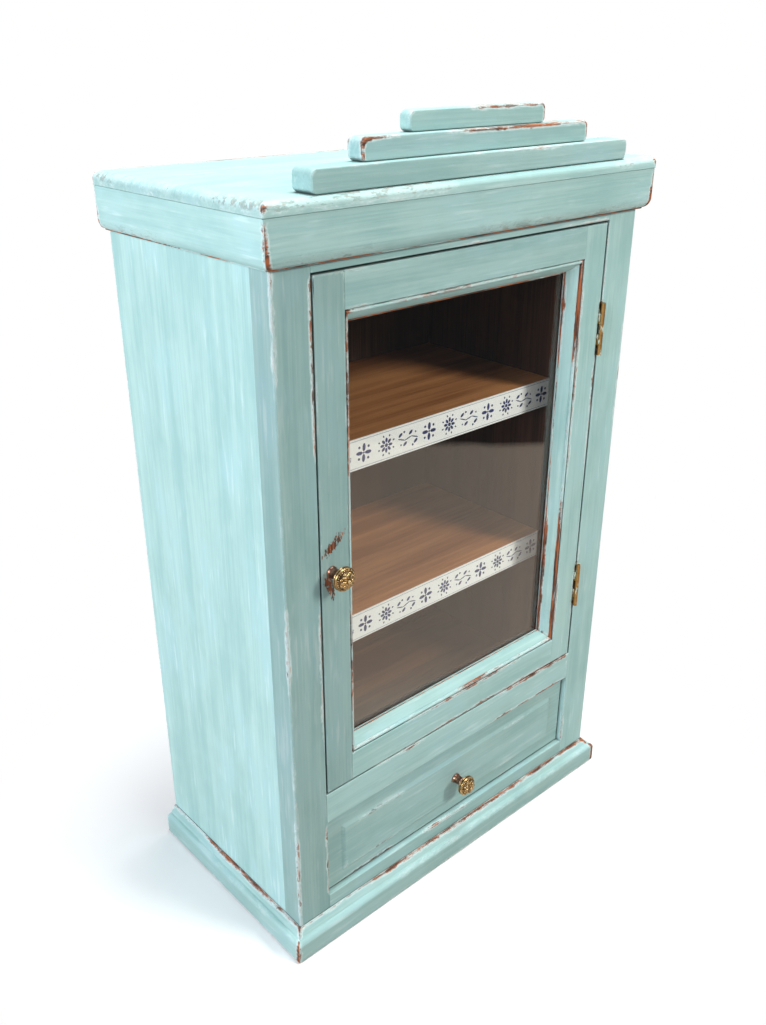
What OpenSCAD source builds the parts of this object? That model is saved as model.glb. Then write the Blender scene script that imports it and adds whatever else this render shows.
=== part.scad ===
// Thimble display case: a small painted cabinet with a glazed door over one drawer,
// two shelves with printed edging, a moulded cornice and plinth, and a stepped pediment.
// The front faces -Y and +Z is up. The origin lies on the ground under the middle of the carcass.

/* [Carcass] */
// Width over the outer faces of the two sides
case_w = 316; // [300:1:360]
// Depth from the front of the face frame to the back of the sides
case_d = 168; // [150:1:220]
// Thickness of the outer side boards
side_t = 20; // [16:1:24]
// Thickness of the inner lining boards that carry the shelves and stop the door
lining_t = 21; // [16:1:24]
// Thickness of the board that closes the bottom
base_t = 12; // [8:1:16]
// Thickness of the board under the display space
floor_t = 8; // [6:1:12]
// Thickness of the board over the display space
ceiling_t = 12; // [8:1:16]
// Thickness of the plywood back
back_t = 4; // [3:0.5:6]
// Width of the rebate that holds the back in each side
back_rebate_w = 10; // [8:1:14]

/* [Face frame] */
// Thickness of the face frame
frame_t = 18; // [16:1:22]
// Width of the left stile, on the lock side
stile_left_w = 26.5; // [22:0.5:34]
// Width of the right stile, on the hinge side
stile_right_w = 29.6; // [26:0.2:36]
// Height of the bottom rail, up to the drawer
rail_bottom_h = 35; // [30:0.5:45]
// Height of the drawer opening
drawer_open_h = 67; // [60:0.5:90]
// Height of the rail between drawer and door
rail_middle_h = 24.5; // [20:0.5:34]
// Height of the door opening
door_open_h = 351.5; // [330:0.5:420]
// Height of the top rail, most of it behind the cornice
rail_top_h = 32; // [30:0.5:40]
// Length of every frame tenon
tenon_l = 12; // [8:1:16]
// Thickness of every frame tenon
tenon_t = 6; // [4:0.5:7]
// Step at the top and bottom of a frame tenon
tenon_step = 4; // [3:0.5:6]
// Gap round a tenon in its mortise
tenon_fit = 0.05; // [0.02:0.01:0.2]

/* [Cornice, top board and plinth] */
// Height of the cornice moulding below the top board
cornice_h = 27; // [22:0.5:31]
// How far the cornice stands out from the carcass
cornice_out = 7; // [5:0.5:12]
// Height of the rounded lower edge of the cornice
cornice_round_h = 7.5; // [4:0.5:10]
// Depth of the rounded lower edge of the cornice
cornice_round_d = 4.2; // [3:0.1:4.4]
// Thickness of the top board
top_t = 8; // [6:0.5:12]
// How far the top board stands out past the cornice
top_lip = 0.4; // [0.2:0.1:1.5]
// Height of the rounded upper edge of the top board
top_round_h = 4.5; // [2:0.5:5.5]
// Depth of the rounded upper edge of the top board
top_round_d = 5.3; // [2:0.1:8]
// Height of the plinth moulding
plinth_h = 23.5; // [20:0.5:29]
// How far the plinth stands out from the carcass
plinth_out = 8.7; // [6:0.1:12]
// Height of the plain lower face of the plinth
plinth_face_h = 14; // [10:0.5:15]

/* [Pediment] */
// Width of the lowest step
step_low_w = 265; // [220:1:290]
// Height of the lowest step
step_low_h = 12.8; // [8:0.1:16]
// Depth of the lowest step
step_low_d = 17.3; // [15:0.1:24]
// Width of the middle step
step_mid_w = 189.5; // [140:0.5:210]
// Height of the middle step
step_mid_h = 12.6; // [8:0.1:16]
// Depth of the middle step
step_mid_d = 12.8; // [11:0.1:14.5]
// Width of the highest step
step_top_w = 114; // [60:1:135]
// Height of the highest step
step_top_h = 11.5; // [8:0.1:16]
// Depth of the highest step
step_top_d = 8.6; // [6:0.1:10.5]
// Distance from the front plane of the case to the flush backs of the steps
step_back = 12.4; // [10:0.1:20]
// Radius of the rounded ends of the steps
step_r = 3.5; // [1:0.1:3.8]

/* [Shelves] */
// Thickness of a shelf
shelf_t = 20; // [12:0.5:22]
// Clear height below the lower shelf
space_low_h = 102.7; // [90:0.1:110]
// Clear height between the two shelves
space_mid_h = 107.9; // [90:0.1:115]
// Distance from the front plane of the case to the front of a shelf
shelf_set = 33.5; // [28:0.5:45]
// Depth of the housing in the lining that a shelf end sits in
housing_d = 6; // [4:0.5:8]
// Height of the edging strip on a shelf
edging_h = 21.2; // [20.1:0.1:23]
// Thickness of the edging strip
edging_t = 0.8; // [0.5:0.1:2]

/* [Door] */
// Gap between door and frame, except on the hinge side
door_gap = 1.3; // [1.1:0.1:2]
// Gap between door and frame on the hinge side
hinge_gap = 1.8; // [1.5:0.1:2.2]
// Thickness of the door frame
door_t = 17.6; // [17.4:0.1:17.8]
// Width of the door stiles and rails, up to the glazing moulding
door_frame_w = 22; // [20:0.5:26]
// Width of the glazing moulding
mould_w = 9.4; // [8:0.1:12]
// Depth from the door's face to the inner edge of the glazing moulding
mould_drop = 9.1; // [7.5:0.1:9.4]
// Thickness of the glazing moulding at its inner edge
mould_lip = 1.5; // [1:0.1:2]
// Thickness of the glass
glass_t = 2; // [1.6:0.1:2.4]
// Space left round the edge of the glass
glass_play = 1; // [0.5:0.1:2]
// Space left at each mitre of the beads behind the glass
bead_gap = 0.05; // [0.02:0.01:0.2]

/* [Hinges] */
// Length of a hinge
hinge_h = 38; // [30:1:50]
// Distance from the door's top edge to the upper hinge
hinge_top_inset = 55; // [30:1:80]
// Distance from the door's bottom edge to the lower hinge
hinge_bottom_inset = 46.5; // [30:0.5:80]
// Number of knuckles in a hinge
hinge_knuckles = 5; // [3:2:7]
// Radius of the hinge barrel
barrel_r = 1.6; // [1.4:0.05:1.8]
// Distance of the hinge pin's axis from the face of the door
hinge_stand = 2.2; // [1.9:0.1:3]
// Radius of the hinge pin
pin_r = 0.7; // [0.5:0.05:0.8]
// Running clearance round the hinge pin
pin_fit = 0.05; // [0.02:0.01:0.1]
// Thickness of a hinge leaf
leaf_t = 0.9; // [0.7:0.1:1.1]
// Width of a hinge leaf
leaf_w = 11; // [9:0.5:13]
// Gap between neighbouring knuckles
knuckle_gap = 0.2; // [0.1:0.05:0.4]
// Radius of a hinge screw
hinge_screw_r = 1.1; // [0.8:0.05:1.2]
// Length of a hinge screw below its head
hinge_screw_l = 8; // [5:0.5:12]

/* [Knobs] */
// Diameter of a knob's head
knob_d = 16; // [12:0.5:17]
// How far a knob stands out
knob_out = 18; // [14:0.5:22]
// Diameter of a knob's foot
knob_foot_d = 8.2; // [7.6:0.2:11]
// Diameter of a knob's waist
knob_waist_d = 6.6; // [6:0.2:7.2]
// Distance of the door knob from the door's left edge
knob_inset = 8; // [7:0.5:12]
// Height of the door knob above the door's bottom edge
knob_height = 168; // [120:1:200]
// Radius of a knob's screw
knob_screw_r = 1.8; // [1.4:0.1:2]
// Depth of the tapped hole in a knob
knob_bore_h = 9; // [6:0.5:10]

/* [Catch] */
// Radius of the magnet in the lining
magnet_r = 4; // [3:0.5:5]
// Length of the magnet
magnet_l = 6; // [4:0.5:8]
// Height of the magnet above the door's bottom edge
magnet_height = 215; // [200:1:260]
// Thickness of the steel plate in the door
strike_t = 1; // [0.8:0.1:1.5]

/* [Drawer] */
// Gap round the drawer front
drawer_gap = 1; // [0.8:0.1:1.5]
// Distance from the face frame back to the margin of the drawer front
drawer_set = 4.5; // [4:0.1:6]
// How far the raised field stands out from the margin
field_raise = 2; // [1:0.1:3]
// Width of the slope round the raised field
field_slope = 2.6; // [1.5:0.1:5]
// Width of the margin at each side of the raised field
field_margin_side = 14.5; // [10:0.5:25]
// Width of the margin below the raised field
field_margin_low = 9.8; // [6:0.1:15]
// Width of the margin above the raised field
field_margin_high = 13.5; // [6:0.1:18]
// Thickness of the drawer front behind its margin
drawer_front_t = 12; // [10:0.5:16]
// Thickness of the drawer sides and back
drawer_side_t = 9; // [7:0.5:12]
// Height of the drawer sides
drawer_side_h = 54; // [45:0.5:60]
// Space left behind the drawer, in front of the back
drawer_space = 24.5; // [13:0.5:60]
// Thickness of the drawer bottom
drawer_bottom_t = 3.5; // [3:0.5:5]
// Height of the drawer bottom above the lower edge of the sides
drawer_bottom_up = 6; // [4:0.5:9]
// Depth of the grooves that hold the drawer bottom
groove_d = 4; // [3:0.5:5]
// Depth of the rebates in the drawer front that hold the sides
front_rebate = 7; // [5:0.5:8]
// Gap between the drawer sides and the runners below them
runner_gap = 0.3; // [0.2:0.05:0.4]
// Width of the runners under the drawer
runner_w = 20; // [19:1:28]
// Length of the blocks that stop the drawer
stop_l = 10; // [6:1:12]

/* [Hidden] */

paint = "#9fc5c6";
paint_light = "#b4d4d6";
bare_wood = "#8a5a3a";
shelf_wood = "#a07850";
brass = "#a98548";
steel = "#9a9a98";

fn_round = 48;
eps = 0.01;

front_y = -case_d / 2;
back_y = case_d / 2;
half_w = case_w / 2;
inner_x = half_w - side_t;
clear_x = inner_x - lining_t;
frame_back_y = front_y + frame_t;
board_back_y = back_y - back_t;

open_left = -half_w + stile_left_w;
open_right = half_w - stile_right_w;
drawer_open_z = rail_bottom_h;
rail_middle_z = drawer_open_z + drawer_open_h;
door_open_z = rail_middle_z + rail_middle_h;
rail_top_z = door_open_z + door_open_h;
case_h = rail_top_z + rail_top_h;
floor_z = rail_middle_z;
floor_top = floor_z + floor_t;
ceiling_z = case_h - ceiling_t;
cornice_z = case_h - cornice_h;
top_z = case_h + top_t;

shelf_low_z = floor_top + space_low_h;
shelf_high_z = shelf_low_z + shelf_t + space_mid_h;
shelf_y = front_y + shelf_set;
edging_over = (edging_h - shelf_t) * 0.2;

door_x0 = open_left + door_gap;
door_x1 = open_right - hinge_gap;
door_z0 = door_open_z + door_gap;
door_z1 = rail_top_z - door_gap;
pane_x0 = door_x0 + door_frame_w;
pane_x1 = door_x1 - door_frame_w;
pane_z0 = door_z0 + door_frame_w;
pane_z1 = door_z1 - door_frame_w;
pane_w = pane_x1 - pane_x0;
pane_h = pane_z1 - pane_z0;
glass_y = mould_drop + mould_lip;
bead_t = door_t - glass_y - glass_t;

hinge_x = open_right - hinge_gap / 2;
hinge_y = front_y - hinge_stand;
hinge_low_z = door_z0 + hinge_bottom_inset;
hinge_high_z = door_z1 - hinge_top_inset - hinge_h;
knuckle_h = hinge_h / hinge_knuckles;
leaf_in = barrel_r - leaf_t;
leaf_play = 0.1;
hinge_head_r = hinge_screw_r * 2;
hinge_screw_z = [hinge_h * 0.16, hinge_h * 0.5, hinge_h * 0.84];
hinge_screw_y = [leaf_w * 0.58, leaf_w * 0.42, leaf_w * 0.58];

knob_x = door_x0 + knob_inset;
knob_z = door_z0 + knob_height;
knob_head_h = knob_screw_r * 1.1;
knob_hole_r = knob_screw_r + 0.1;
magnet_x = (open_left - clear_x) / 2;
magnet_z = door_z0 + magnet_height;
strike_r = magnet_r + 1;

draw_x0 = open_left + drawer_gap;
draw_x1 = open_right - drawer_gap;
draw_z0 = drawer_open_z + drawer_gap * 0.8;
draw_z1 = rail_middle_z - drawer_gap;
draw_y0 = front_y + drawer_set;
draw_y1 = draw_y0 + drawer_front_t;
side_x0 = draw_x0 + 1;
side_x1 = draw_x1 - 1;
side_y0 = draw_y1 - front_rebate;
side_y1 = board_back_y - drawer_space;
drawer_side_l = side_y1 - side_y0;
side_z0 = drawer_open_z + runner_gap;
side_z1 = side_z0 + drawer_side_h;
bottom_z = side_z0 + drawer_bottom_up;
draw_knob_x = (draw_x0 + draw_x1) / 2;
draw_knob_z = (draw_z0 + field_margin_low + draw_z1 - field_margin_high) / 2;
panel_fit = 0.1;

// A board given by its lowest and highest corners
module board(low, high) {
    translate(low)
        cube(high - low);
}

// A quarter ellipse as points, from (0, -h) to (d, 0) about its centre
function quarter(d, h, n = 12) = [for (i = [0:n]) [d * sin(90 * i / n), -h * cos(90 * i / n)]];

// Every point of a list moved by the same step
function moved(points, step) = [for (p = points) p + step];

// A moulding with the given (out, up) section along +X, mitred where asked, its back on y = 0
module moulding_run(len, section, out, h, mitre_start, mitre_end) {
    reach = out + 1;
    intersection() {
        rotate([90, 0, 90])
            translate([0, 0, -reach])
                linear_extrude(len + 2 * reach)
                    mirror([1, 0])
                        polygon(section);
        translate([0, 0, -1])
            linear_extrude(h + 2)
                polygon([
                    [0, 0],
                    [len, 0],
                    [mitre_end ? len + reach : len, -reach],
                    [mitre_start ? -reach : 0, -reach]
                ]);
    }
}

cornice_section = concat(
    [[0, cornice_h], [0, 1.2], [1, 0], [cornice_out - cornice_round_d, 0]],
    moved(quarter(cornice_round_d, cornice_round_h - 1), [cornice_out - cornice_round_d, cornice_round_h]),
    [[cornice_out, cornice_h]]
);

plinth_step_z = plinth_face_h + (plinth_h - plinth_face_h) * 0.4;
plinth_ledge_z = plinth_step_z + 1.2;
plinth_section = concat(
    [[0, 0], [plinth_out - 1, 0], [plinth_out, 1], [plinth_out, plinth_face_h]],
    [for (i = [1:10]) [
        plinth_out * 0.53 + plinth_out * 0.47 * cos(9 * i),
        plinth_face_h + (plinth_step_z - plinth_face_h) * sin(9 * i)
    ]],
    [[plinth_out * 0.45, plinth_ledge_z], [plinth_out * 0.08, plinth_h], [0, plinth_h]]
);

// Carcass

module side(dir) {
    color(paint_light)
        difference() {
            board([dir * half_w - (dir > 0 ? side_t : 0), frame_back_y, 0],
                  [dir * half_w + (dir > 0 ? 0 : side_t), back_y, case_h]);
            translate([dir * (inner_x + back_rebate_w / 2 - 0.5), back_y - back_t / 2 + 0.5, case_h / 2])
                cube([back_rebate_w + 1, back_t + 1, case_h + 2], center = true);
        }
}

module lining(dir) {
    x0 = dir > 0 ? clear_x : -inner_x;
    color(bare_wood)
        difference() {
            board([x0, frame_back_y, floor_top], [x0 + lining_t, board_back_y, ceiling_z]);
            for (z = [shelf_low_z, shelf_high_z])
                translate([dir > 0 ? x0 - 1 : x0 + lining_t - housing_d, shelf_y, z])
                    cube([housing_d + 1, case_d, shelf_t]);
            if (dir < 0)
                translate([magnet_x, frame_back_y, magnet_z])
                    rotate([-90, 0, 0])
                        translate([0, 0, -1])
                            cylinder(r = magnet_r + tenon_fit, h = magnet_l + 1, $fn = fn_round);
        }
}

module base_board() {
    color(bare_wood)
        board([-inner_x, frame_back_y, 0], [inner_x, board_back_y, base_t]);
}

module display_floor() {
    color(bare_wood)
        board([-inner_x, frame_back_y, floor_z], [inner_x, board_back_y, floor_top]);
}

module ceiling_board() {
    color(bare_wood)
        board([-inner_x, frame_back_y, ceiling_z], [inner_x, board_back_y, case_h]);
}

module back_panel() {
    side_x = inner_x + back_rebate_w - panel_fit;
    color(bare_wood)
        board([-side_x, board_back_y, 2], [side_x, back_y, case_h]);
}

module shelf(z) {
    side_x = clear_x + housing_d - panel_fit;
    color(shelf_wood)
        board([-side_x, shelf_y, z], [side_x, board_back_y, z + shelf_t]);
}

module shelf_edging(z) {
    color("white")
        board([-clear_x + panel_fit, shelf_y - edging_t, z + shelf_t + edging_over - edging_h],
              [clear_x - panel_fit, shelf_y, z + shelf_t + edging_over]);
}

// Face frame

// Vertical member from x0 to x1 with a mortise for each rail, cut from the edge that faces the opening
module frame_stile(x0, x1, dir) {
    edge_x = dir > 0 ? x0 : x1;
    difference() {
        board([x0, front_y, 0], [x1, frame_back_y, case_h]);
        for (r = [[0, rail_bottom_h], [rail_middle_z, rail_middle_h], [rail_top_z, rail_top_h]])
            translate([edge_x, front_y + frame_t / 2, r[0] + r[1] / 2])
                cube([2 * (tenon_l + tenon_fit), tenon_t + 2 * tenon_fit,
                      r[1] - 2 * tenon_step + 2 * tenon_fit], center = true);
    }
}

module frame_stile_left() {
    color(paint)
        frame_stile(-half_w, open_left, -1);
}

module frame_stile_right() {
    color(paint)
        difference() {
            frame_stile(open_right, half_w, 1);
            for (z = [hinge_low_z, hinge_high_z])
                translate([hinge_x, hinge_y, z])
                    leaf_seat(1);
        }
}

module frame_rail(z, h) {
    color(paint)
        union() {
            board([open_left, front_y, z], [open_right, frame_back_y, z + h]);
            translate([(open_left + open_right) / 2, front_y + frame_t / 2, z + h / 2])
                cube([open_right - open_left + 2 * tenon_l, tenon_t, h - 2 * tenon_step], center = true);
        }
}

// Cornice, plinth, top board and pediment

module cornice_front() {
    color(paint)
        translate([-half_w, front_y, cornice_z])
            moulding_run(case_w, cornice_section, cornice_out, cornice_h, true, true);
}

module cornice_side(dir) {
    color(paint_light)
        translate([dir * half_w, dir > 0 ? front_y : back_y, cornice_z])
            rotate([0, 0, dir * 90])
                moulding_run(case_d, cornice_section, cornice_out, cornice_h, dir > 0, dir < 0);
}

module plinth_front() {
    color(paint)
        translate([-half_w, front_y, 0])
            moulding_run(case_w, plinth_section, plinth_out, plinth_h, true, true);
}

module plinth_side(dir) {
    color(paint_light)
        translate([dir * half_w, dir > 0 ? front_y : back_y, 0])
            rotate([0, 0, dir * 90])
                moulding_run(case_d, plinth_section, plinth_out, plinth_h, dir > 0, dir < 0);
}

// Section of the top board between two side edges, with a rounded upper edge at each of them
function top_section(left, right, round_right) = concat(
    [[left, 0]],
    [[right, 0]],
    round_right
        ? [for (i = [0:10]) [right - top_round_d + top_round_d * cos(9 * i), top_t - top_round_h + top_round_h * sin(9 * i)]]
        : [[right, top_t]],
    [for (i = [0:10]) [left + top_round_d - top_round_d * sin(9 * i), top_t - top_round_h + top_round_h * cos(9 * i)]]
);

module top_board() {
    top_out = cornice_out + top_lip;
    color(paint_light)
        translate([0, 0, case_h])
            intersection() {
                translate([0, back_y + 1, 0])
                    rotate([90, 0, 0])
                        linear_extrude(case_d + top_out + 2)
                            polygon(top_section(-half_w - top_out, half_w + top_out, true));
                translate([-half_w - top_out - 1, 0, 0])
                    rotate([90, 0, 90])
                        linear_extrude(case_w + 2 * top_out + 2)
                            polygon(top_section(front_y - top_out, back_y, false));
            }
}

// A pediment step: a strip of wood whose ends are rounded in the front view
module pediment_step(w, h, d, z) {
    color(paint)
        translate([0, front_y + step_back, z])
            rotate([90, 0, 0])
                linear_extrude(d)
                    union() {
                        square_x = w / 2 - step_r;
                        square_z = h - 2 * step_r;
                        translate([-square_x, 0])
                            square([2 * square_x, h]);
                        translate([-w / 2, step_r])
                            square([w, square_z]);
                        for (x = [-square_x, square_x], y = [step_r, h - step_r])
                            translate([x, y])
                                circle(r = step_r, $fn = fn_round);
                    }
}

// Hinges: the pin axis is the local Z axis, dir is +1 for the frame leaf and -1 for the door leaf.
// The outside of each leaf is flush with the outside of the barrel.

module leaf_seat(dir) {
    translate([dir > 0 ? 0 : -barrel_r, hinge_stand - 1, -leaf_play])
        cube([barrel_r, leaf_w + 1 + leaf_play, hinge_h + 2 * leaf_play]);
    for (i = [0:2])
        translate([dir * leaf_in, hinge_stand + hinge_screw_y[i], hinge_screw_z[i]])
            rotate([0, dir * 90, 0])
                cylinder(r = hinge_screw_r + tenon_fit, h = leaf_t + hinge_screw_l + 0.5, $fn = fn_round);
}

module hinge_leaf(dir) {
    first = dir > 0 ? 0 : 1;
    plate_x = dir > 0 ? leaf_in : -barrel_r;
    color(brass)
        difference() {
            union() {
                translate([plate_x, hinge_stand, 0])
                    cube([leaf_t, leaf_w, hinge_h]);
                for (k = [first:2:hinge_knuckles - 1])
                    translate([0, 0, k * knuckle_h + knuckle_gap / 2]) {
                        cylinder(r = barrel_r, h = knuckle_h - knuckle_gap, $fn = fn_round);
                        translate([plate_x, 0, 0])
                            cube([leaf_t, hinge_stand + 1, knuckle_h - knuckle_gap]);
                    }
            }
            translate([0, 0, -1])
                cylinder(r = pin_r + pin_fit, h = hinge_h + 2, $fn = fn_round);
            for (i = [0:2])
                translate([dir * leaf_in, hinge_stand + hinge_screw_y[i], hinge_screw_z[i]])
                    rotate([0, dir * 90, 0])
                        translate([0, 0, -eps])
                            cylinder(r1 = hinge_head_r + tenon_fit, r2 = hinge_screw_r + tenon_fit,
                                     h = leaf_t + 2 * eps, $fn = fn_round);
        }
}

module hinge_leaf_at(z, dir) {
    translate([hinge_x, hinge_y, z])
        hinge_leaf(dir);
}

module hinge_pins() {
    color(brass)
        for (z = [hinge_low_z, hinge_high_z])
            translate([hinge_x, hinge_y, z])
                cylinder(r = pin_r, h = hinge_h, $fn = fn_round);
}

module hinge_screws(dir) {
    color(brass)
        for (z = [hinge_low_z, hinge_high_z], i = [0:2])
            translate([hinge_x + dir * leaf_in, hinge_y + hinge_stand + hinge_screw_y[i], z + hinge_screw_z[i]])
                rotate([0, dir * 90, 0])
                    union() {
                        cylinder(r1 = hinge_head_r, r2 = hinge_screw_r, h = leaf_t, $fn = fn_round);
                        cylinder(r = hinge_screw_r, h = leaf_t + hinge_screw_l, $fn = fn_round);
                    }
}

// Door

// Vertical door member with its two mortises, dir is +1 where the opening lies towards +X
module door_stile(x0, dir) {
    inner = dir > 0 ? x0 + door_frame_w : x0;
    difference() {
        board([x0, front_y, door_z0], [x0 + door_frame_w, front_y + door_t, door_z1]);
        for (z = [door_z0 + door_frame_w / 2, door_z1 - door_frame_w / 2])
            translate([inner, front_y + door_t / 2, z])
                cube([2 * (tenon_l + tenon_fit), tenon_t + 2 * tenon_fit,
                      door_frame_w - 2 * tenon_step + 2 * tenon_fit], center = true);
    }
}

module door_stile_left() {
    color(paint)
        difference() {
            door_stile(door_x0, 1);
            translate([knob_x, front_y + door_t, knob_z])
                rotate([90, 0, 0])
                    knob_screw_hole(door_t);
            translate([magnet_x, front_y + door_t, magnet_z])
                rotate([90, 0, 0])
                    translate([0, 0, -1])
                        cylinder(r = strike_r + tenon_fit, h = strike_t + 1, $fn = fn_round);
        }
}

module door_stile_right() {
    color(paint)
        difference() {
            door_stile(door_x1 - door_frame_w, -1);
            for (z = [hinge_low_z, hinge_high_z])
                translate([hinge_x, hinge_y, z])
                    leaf_seat(-1);
        }
}

module door_rail(z) {
    color(paint)
        union() {
            board([pane_x0, front_y, z], [pane_x1, front_y + door_t, z + door_frame_w]);
            translate([(pane_x0 + pane_x1) / 2, front_y + door_t / 2, z + door_frame_w / 2])
                cube([pane_w + 2 * tenon_l, tenon_t, door_frame_w - 2 * tenon_step], center = true);
        }
}

// Section of the glazing moulding as (in from the frame, back from the face)
bead_r = 1.1;
quirk_d = 2.3;
slope_x = bead_r * 2 + 0.9;
fillet_w = 1;
mould_section = concat(
    [[0, glass_y], [0, 1.4]],
    [for (i = [0:8]) [0.5 + bead_r - bead_r * cos(22.5 * i), 1.4 - bead_r * sin(22.5 * i)]],
    [[slope_x - 0.4, quirk_d], [slope_x, quirk_d]],
    [for (i = [1:10]) [
        slope_x + (mould_w - fillet_w - slope_x) * i / 10,
        quirk_d + (mould_drop - 0.5 - quirk_d) * i / 10 - 0.7 * sin(18 * i)
    ]],
    [[mould_w - fillet_w, mould_drop], [mould_w, mould_drop], [mould_w, glass_y]]
);

// Section of the bead behind the glass as (in from the frame, back from the glass)
glass_bead_r = 1.5;
glass_bead_section = concat(
    [[0, 0], [mould_w, 0]],
    [for (i = [0:6]) [
        mould_w - glass_bead_r + glass_bead_r * cos(15 * i),
        bead_t - glass_bead_r + glass_bead_r * sin(15 * i)
    ]],
    [[0, bead_t]]
);

// A strip with both ends mitred, along +X, growing inwards along +Z and backwards along +Y
module mitred_strip(len, section, depth, gap) {
    intersection() {
        rotate([90, 0, 90])
            linear_extrude(len)
                polygon([for (p = section) [p[1], p[0]]]);
        translate([0, depth + 1, 0])
            rotate([90, 0, 0])
                linear_extrude(depth + 2)
                    polygon([[gap, 0], [len - gap, 0], [len - gap - mould_w, mould_w], [gap + mould_w, mould_w]]);
    }
}

// Places a strip of its own length on one of the four edges of the pane opening
module on_edge(edge, y) {
    if (edge == "bottom")
        translate([pane_x0, front_y + y, pane_z0])
            children();
    if (edge == "right")
        translate([pane_x1, front_y + y, pane_z0])
            rotate([0, -90, 0])
                children();
    if (edge == "top")
        translate([pane_x1, front_y + y, pane_z1])
            rotate([0, 180, 0])
                children();
    if (edge == "left")
        translate([pane_x0, front_y + y, pane_z1])
            rotate([0, 90, 0])
                children();
}

function edge_len(edge) = (edge == "top" || edge == "bottom") ? pane_w : pane_h;

module glazing_moulding(edge) {
    color(paint)
        on_edge(edge, 0)
            mitred_strip(edge_len(edge), mould_section, glass_y, 0);
}

module glass_beads() {
    color(bare_wood)
        for (edge = ["bottom", "right", "top", "left"])
            on_edge(edge, glass_y + glass_t)
                mitred_strip(edge_len(edge), glass_bead_section, bead_t, bead_gap);
}

module glass_pane() {
    color("#9fb4b8", 0.35)
        board([pane_x0 + glass_play, front_y + glass_y, pane_z0 + glass_play],
              [pane_x1 - glass_play, front_y + glass_y + glass_t, pane_z1 - glass_play]);
}

module door_magnet() {
    color(steel)
        translate([magnet_x, frame_back_y, magnet_z])
            rotate([-90, 0, 0])
                cylinder(r = magnet_r, h = magnet_l, $fn = fn_round);
}

module strike_plate() {
    color(steel)
        translate([magnet_x, front_y + door_t - strike_t, magnet_z])
            rotate([-90, 0, 0])
                cylinder(r = strike_r, h = strike_t, $fn = fn_round);
}

// Knobs: the local Z axis points out of the wood, z = 0 is the wood's face

head_r = knob_d / 2;
foot_r = knob_foot_d / 2;
waist_r = knob_waist_d / 2;
neck_r = waist_r * 1.2;
waist_z = knob_out * 0.38;
neck_z = knob_out * 0.5;
head_z = knob_out * 0.56;
ring_r = knob_out * 0.05;
rim_r = head_r - ring_r;
dome_z = head_z + 4 * ring_r;
knob_profile = concat(
    [[0, 0], [foot_r * 0.9, 0], [foot_r, 0.9]],
    [for (i = [0:8]) [
        waist_r + (foot_r * 0.93 - waist_r) * pow(1 - i / 8, 2),
        1.6 + (waist_z - 1.6) * i / 8
    ]],
    [for (i = [1:4]) [waist_r + (neck_r - waist_r) * pow(i / 4, 2), waist_z + (neck_z - waist_z) * i / 4]],
    [for (i = [1:6]) [neck_r + (rim_r - neck_r) * sin(15 * i), neck_z + (head_z - neck_z) * (1 - cos(15 * i))]],
    [for (k = [0:1], i = [1:6]) [
        rim_r + ring_r * sin(30 * i),
        head_z + (1 + 2 * k) * ring_r - ring_r * cos(30 * i)
    ]],
    [for (i = [1:8]) [(rim_r - 0.2) * cos(11.25 * i), dome_z + (knob_out - dome_z) * sin(11.25 * i)]]
);

module knob() {
    color(brass)
        difference() {
            rotate_extrude($fn = fn_round)
                polygon(knob_profile);
            translate([0, 0, -1])
                cylinder(r = knob_screw_r + tenon_fit, h = knob_bore_h + 1, $fn = fn_round);
        }
}

// Hole for a knob screw through wood of thickness t, its countersink at z = 0 and the face at z = t
module knob_screw_hole(t) {
    translate([0, 0, -1])
        cylinder(r = knob_hole_r, h = t + 2, $fn = fn_round);
    translate([0, 0, -eps])
        cylinder(r1 = knob_screw_r * 2 + 0.1, r2 = knob_hole_r, h = knob_head_h + eps, $fn = fn_round);
}

// Countersunk screw from the back of wood of thickness t into a knob
module knob_screw(t) {
    color(steel)
        union() {
            cylinder(r1 = knob_screw_r * 2, r2 = knob_screw_r, h = knob_head_h, $fn = fn_round);
            cylinder(r = knob_screw_r, h = t + knob_bore_h - 1, $fn = fn_round);
        }
}

module door_knob() {
    translate([knob_x, front_y, knob_z])
        rotate([90, 0, 0])
            knob();
}

module door_knob_screw() {
    translate([knob_x, front_y + door_t, knob_z])
        rotate([90, 0, 0])
            knob_screw(door_t);
}

// Drawer

module drawer_front() {
    field_t = drawer_front_t + field_raise;
    fx0 = draw_x0 + field_margin_side;
    fx1 = draw_x1 - field_margin_side;
    fz0 = draw_z0 + field_margin_low;
    fz1 = draw_z1 - field_margin_high;
    color(paint)
        difference() {
            union() {
                board([draw_x0, draw_y0, draw_z0], [draw_x1, draw_y1, draw_z1]);
                intersection() {
                    translate([0, 0, draw_z0])
                        linear_extrude(draw_z1 - draw_z0)
                            polygon([[fx0, draw_y0 + eps], [fx1, draw_y0 + eps],
                                     [fx1 - field_slope, draw_y0 - field_raise],
                                     [fx0 + field_slope, draw_y0 - field_raise]]);
                    translate([draw_x0, 0, 0])
                        rotate([90, 0, 90])
                            linear_extrude(draw_x1 - draw_x0)
                                polygon([[draw_y0 + eps, fz0], [draw_y0 + eps, fz1],
                                         [draw_y0 - field_raise, fz1 - field_slope],
                                         [draw_y0 - field_raise, fz0 + field_slope]]);
                }
            }
            for (x = [[draw_x0 - 1, side_x0 + drawer_side_t], [side_x1 - drawer_side_t, draw_x1 + 1]])
                board([x[0], side_y0, draw_z0 - 1], [x[1], draw_y1 + 1, draw_z1 + 1]);
            board([side_x0 + drawer_side_t - groove_d, draw_y1 - groove_d - panel_fit, bottom_z - panel_fit],
                  [side_x1 - drawer_side_t + groove_d, draw_y1 + 1, bottom_z + drawer_bottom_t + panel_fit]);
            translate([draw_knob_x, draw_y1, draw_knob_z])
                rotate([90, 0, 0])
                    knob_screw_hole(field_t);
        }
}

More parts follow.
